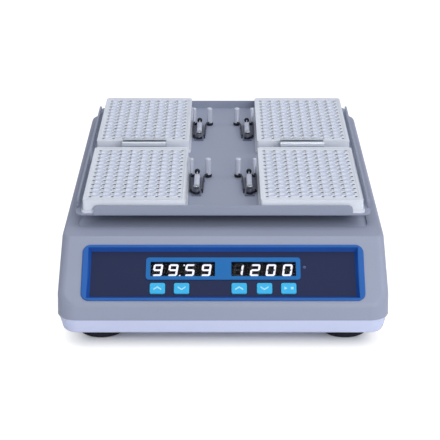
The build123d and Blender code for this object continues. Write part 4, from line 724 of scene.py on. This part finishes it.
def tray_face(centre, normal):
    """The side flanges' inner faces take the second finish, painted paler than the coat: painted
    light.
    """
    inward = normal.x * centre.x < -FACES_IN * abs(centre.x)
    return int(abs(centre.x) > FLANGE_FROM and inward)


tray_coat = powder_coat("tray_coat", colour(138, 145, 165), colour(150, 157, 177))
# The side flanges' inner faces are painted paler than the grey coat: painted light on faces that
# the plates keep in shade.
tray_inner_painted_light = powder_coat("tray_inner_painted_light", colour(188, 194, 206), colour(200, 206, 218))
by_face(dressed("tray", tray_coat), (tray_coat, tray_inner_painted_light), tray_face)
dressed("tray_screws", zinc)

# Centre clips: two polished spring-steel strips, each folded into a pair of leaves between
# the front and rear plates and riveted to the tray.
polished = Finish("polished_spring", Metallic=0.75, Roughness=0.34)
drawn_lines = polished.noise(40, 4, ACROSS_X)
polished_tone = polished.blend(drawn_lines, colour(188, 194, 204), colour(214, 219, 227))
polished.feed("Base Color", polished_tone)
polished.feed("Normal", polished.relief(drawn_lines, 0.01 * MM, 0.3))
dressed("centre_clips", polished)
dressed("clip_rivets", zinc)

# Side clamps: a coated sheet base with a pale raised rib between darker flanks. A fixed and a
# swinging arm of dark wire carry pale fingers, each over a round rubber pad. A black ball stands
# behind the rib, and a coil spring turns round the riveted pin.
TRAY_FLOOR = 84.85
CLAMP_X = 22.2               # the clamps' centres, from the tray's middle
CLAMP_Y = 68.0
SHEET_TOP = TRAY_FLOOR + 1.05
WIRE_TOP = TRAY_FLOOR + 3.85
BALL_FRONT = 17.5            # towards the rear from the clamp's centre
FLANK_HALF = 3.0
PALE, FLANK, WIRE, BALL = range(4)


def clamp_part(name, dark, light, metal, dull):
    """Coated or bare metal with a fine speck."""
    made = Finish(name, Metallic=metal, Specular_IOR_Level=0.4)
    speck = made.noise(500, 3)
    made.feed("Base Color", made.blend(speck, dark, light))
    made.feed("Roughness", dull + 0.15 * speck)
    made.feed("Normal", made.relief(speck, 0.02 * MM, 0.4))
    return made


pale_coat = clamp_part("clamp_pale", colour(182, 187, 203), colour(196, 200, 215), 0.1, 0.4)
flank_coat = clamp_part("clamp_flank", colour(104, 110, 130), colour(118, 124, 144), 0.3, 0.4)
wire_dark = clamp_part("clamp_wire", colour(40, 42, 54), colour(58, 61, 74), 0.6, 0.3)
spring_grey = clamp_part("clamp_spring", colour(96, 99, 112), colour(128, 131, 144), 0.8, 0.25)
ball_black = clamp_part("clamp_ball", colour(22, 23, 32), colour(36, 38, 50), 0.5, 0.16)


def base_face(centre, normal):
    """The rib, the ball, the fingers, the flanks or the wire, by place."""
    rearward = centre.y - TRAY_Y
    rearward -= CLAMP_Y if rearward > 0 else -CLAMP_Y
    if abs(abs(centre.x) - CLAMP_X) < FLANK_HALF:
        if rearward > BALL_FRONT:
            return BALL
        return PALE if centre.z > SHEET_TOP else FLANK
    if centre.z > WIRE_TOP:
        return PALE
    return FLANK if centre.z < SHEET_TOP else WIRE


def lever_face(centre, normal):
    """The finger stands up from the wire."""
    return PALE if centre.z > WIRE_TOP else WIRE


clamp_finishes = (pale_coat, flank_coat, wire_dark, ball_black)    # PALE, FLANK, WIRE, BALL
by_face(dressed("clamp_bases", pale_coat), clamp_finishes, base_face)
dressed("clamp_pins", zinc)
dressed("clamp_springs", spring_grey)
dressed("fixed_pads", rubber)
CORNERS = [(end, hand) for end in ("front", "rear") for hand in ("left", "right")]
for end, hand in CORNERS:
    lever = dressed(f"clamp_lever_{end}_{hand}", pale_coat)
    by_face(lever, clamp_finishes, lever_face)
    dressed(f"lever_pad_{end}_{hand}", rubber)

# Microplates: four white polystyrene plates, each with a skirt, 96 rimmed wells and small
# openings between them. They lie loose between the clips and the clamps. The wells are painted
# paler than the deck and glow faintly, painted light for the light that comes through the thin
# walls, and the openings are painted dark as painted shade of the hollow under the deck.
PLATE_X = 71.7               # the plates' centres, from the tray's middle
PLATE_Y = 70.2
WELL_PITCH = 9.0
WELL_R = 3.6
EYE_FROM_WELL = 4.3          # the openings lie further than this from every well's middle
WELLS_HALF_X = 40.4
WELLS_HALF_Y = 58.4
BELOW_DECK = 95.4            # height under which a place is in a well or an opening
plate_white = Finish("plate_white", Specular_IOR_Level=0.35, Emission_Strength=1.0)


def from_well(offset):
    """How far a place is from the nearest well's middle, along one axis."""
    return offset.maths("WRAP", offset, WELL_PITCH * MM, 0.0) - WELL_PITCH / 2 * MM


plate_across = abs(plate_white.axis("X")) - PLATE_X * MM
plate_along = abs(plate_white.axis("Y") - TRAY_Y * MM) - PLATE_Y * MM
well_x = from_well(plate_across)
well_y = from_well(plate_along)
well_far = (well_x * well_x + well_y * well_y).root()
among_wells = (abs(plate_across) < WELLS_HALF_X * MM) * (abs(plate_along) < WELLS_HALF_Y * MM)
sunk = among_wells * (plate_white.axis("Z") < BELOW_DECK * MM)
plate_flow = plate_white.noise(12, 3)
plate_tone = plate_white.blend(plate_flow, colour(207, 212, 223), colour(215, 220, 231))
# Inside the wells the white is painted paler: painted light for light through the thin walls.
well_painted_light = sunk * (well_far < WELL_R * MM)
plate_tone = plate_white.blend(well_painted_light, plate_tone, colour(220, 225, 236))
# The openings between the wells are painted grey: painted shade of the hollow under the deck.
eye_painted_shade = sunk * (well_far > EYE_FROM_WELL * MM)
plate_tone = plate_white.blend(eye_painted_shade, plate_tone, colour(152, 158, 174))
plate_white.feed("Base Color", plate_tone)
# The wells glow faintly though they are no lamp: painted light.
plate_white.feed("Emission Color", plate_white.blend(well_painted_light, colour(0, 0, 0), colour(76, 78, 84)))
plate_white.feed("Roughness", 0.4 + 0.12 * plate_flow)
plate_white.feed("Normal", plate_white.relief(plate_white.noise(2500, 1), 0.01 * MM, 0.3))
for end, hand in CORNERS:
    dressed(f"microplate_{end}_{hand}", plate_white)
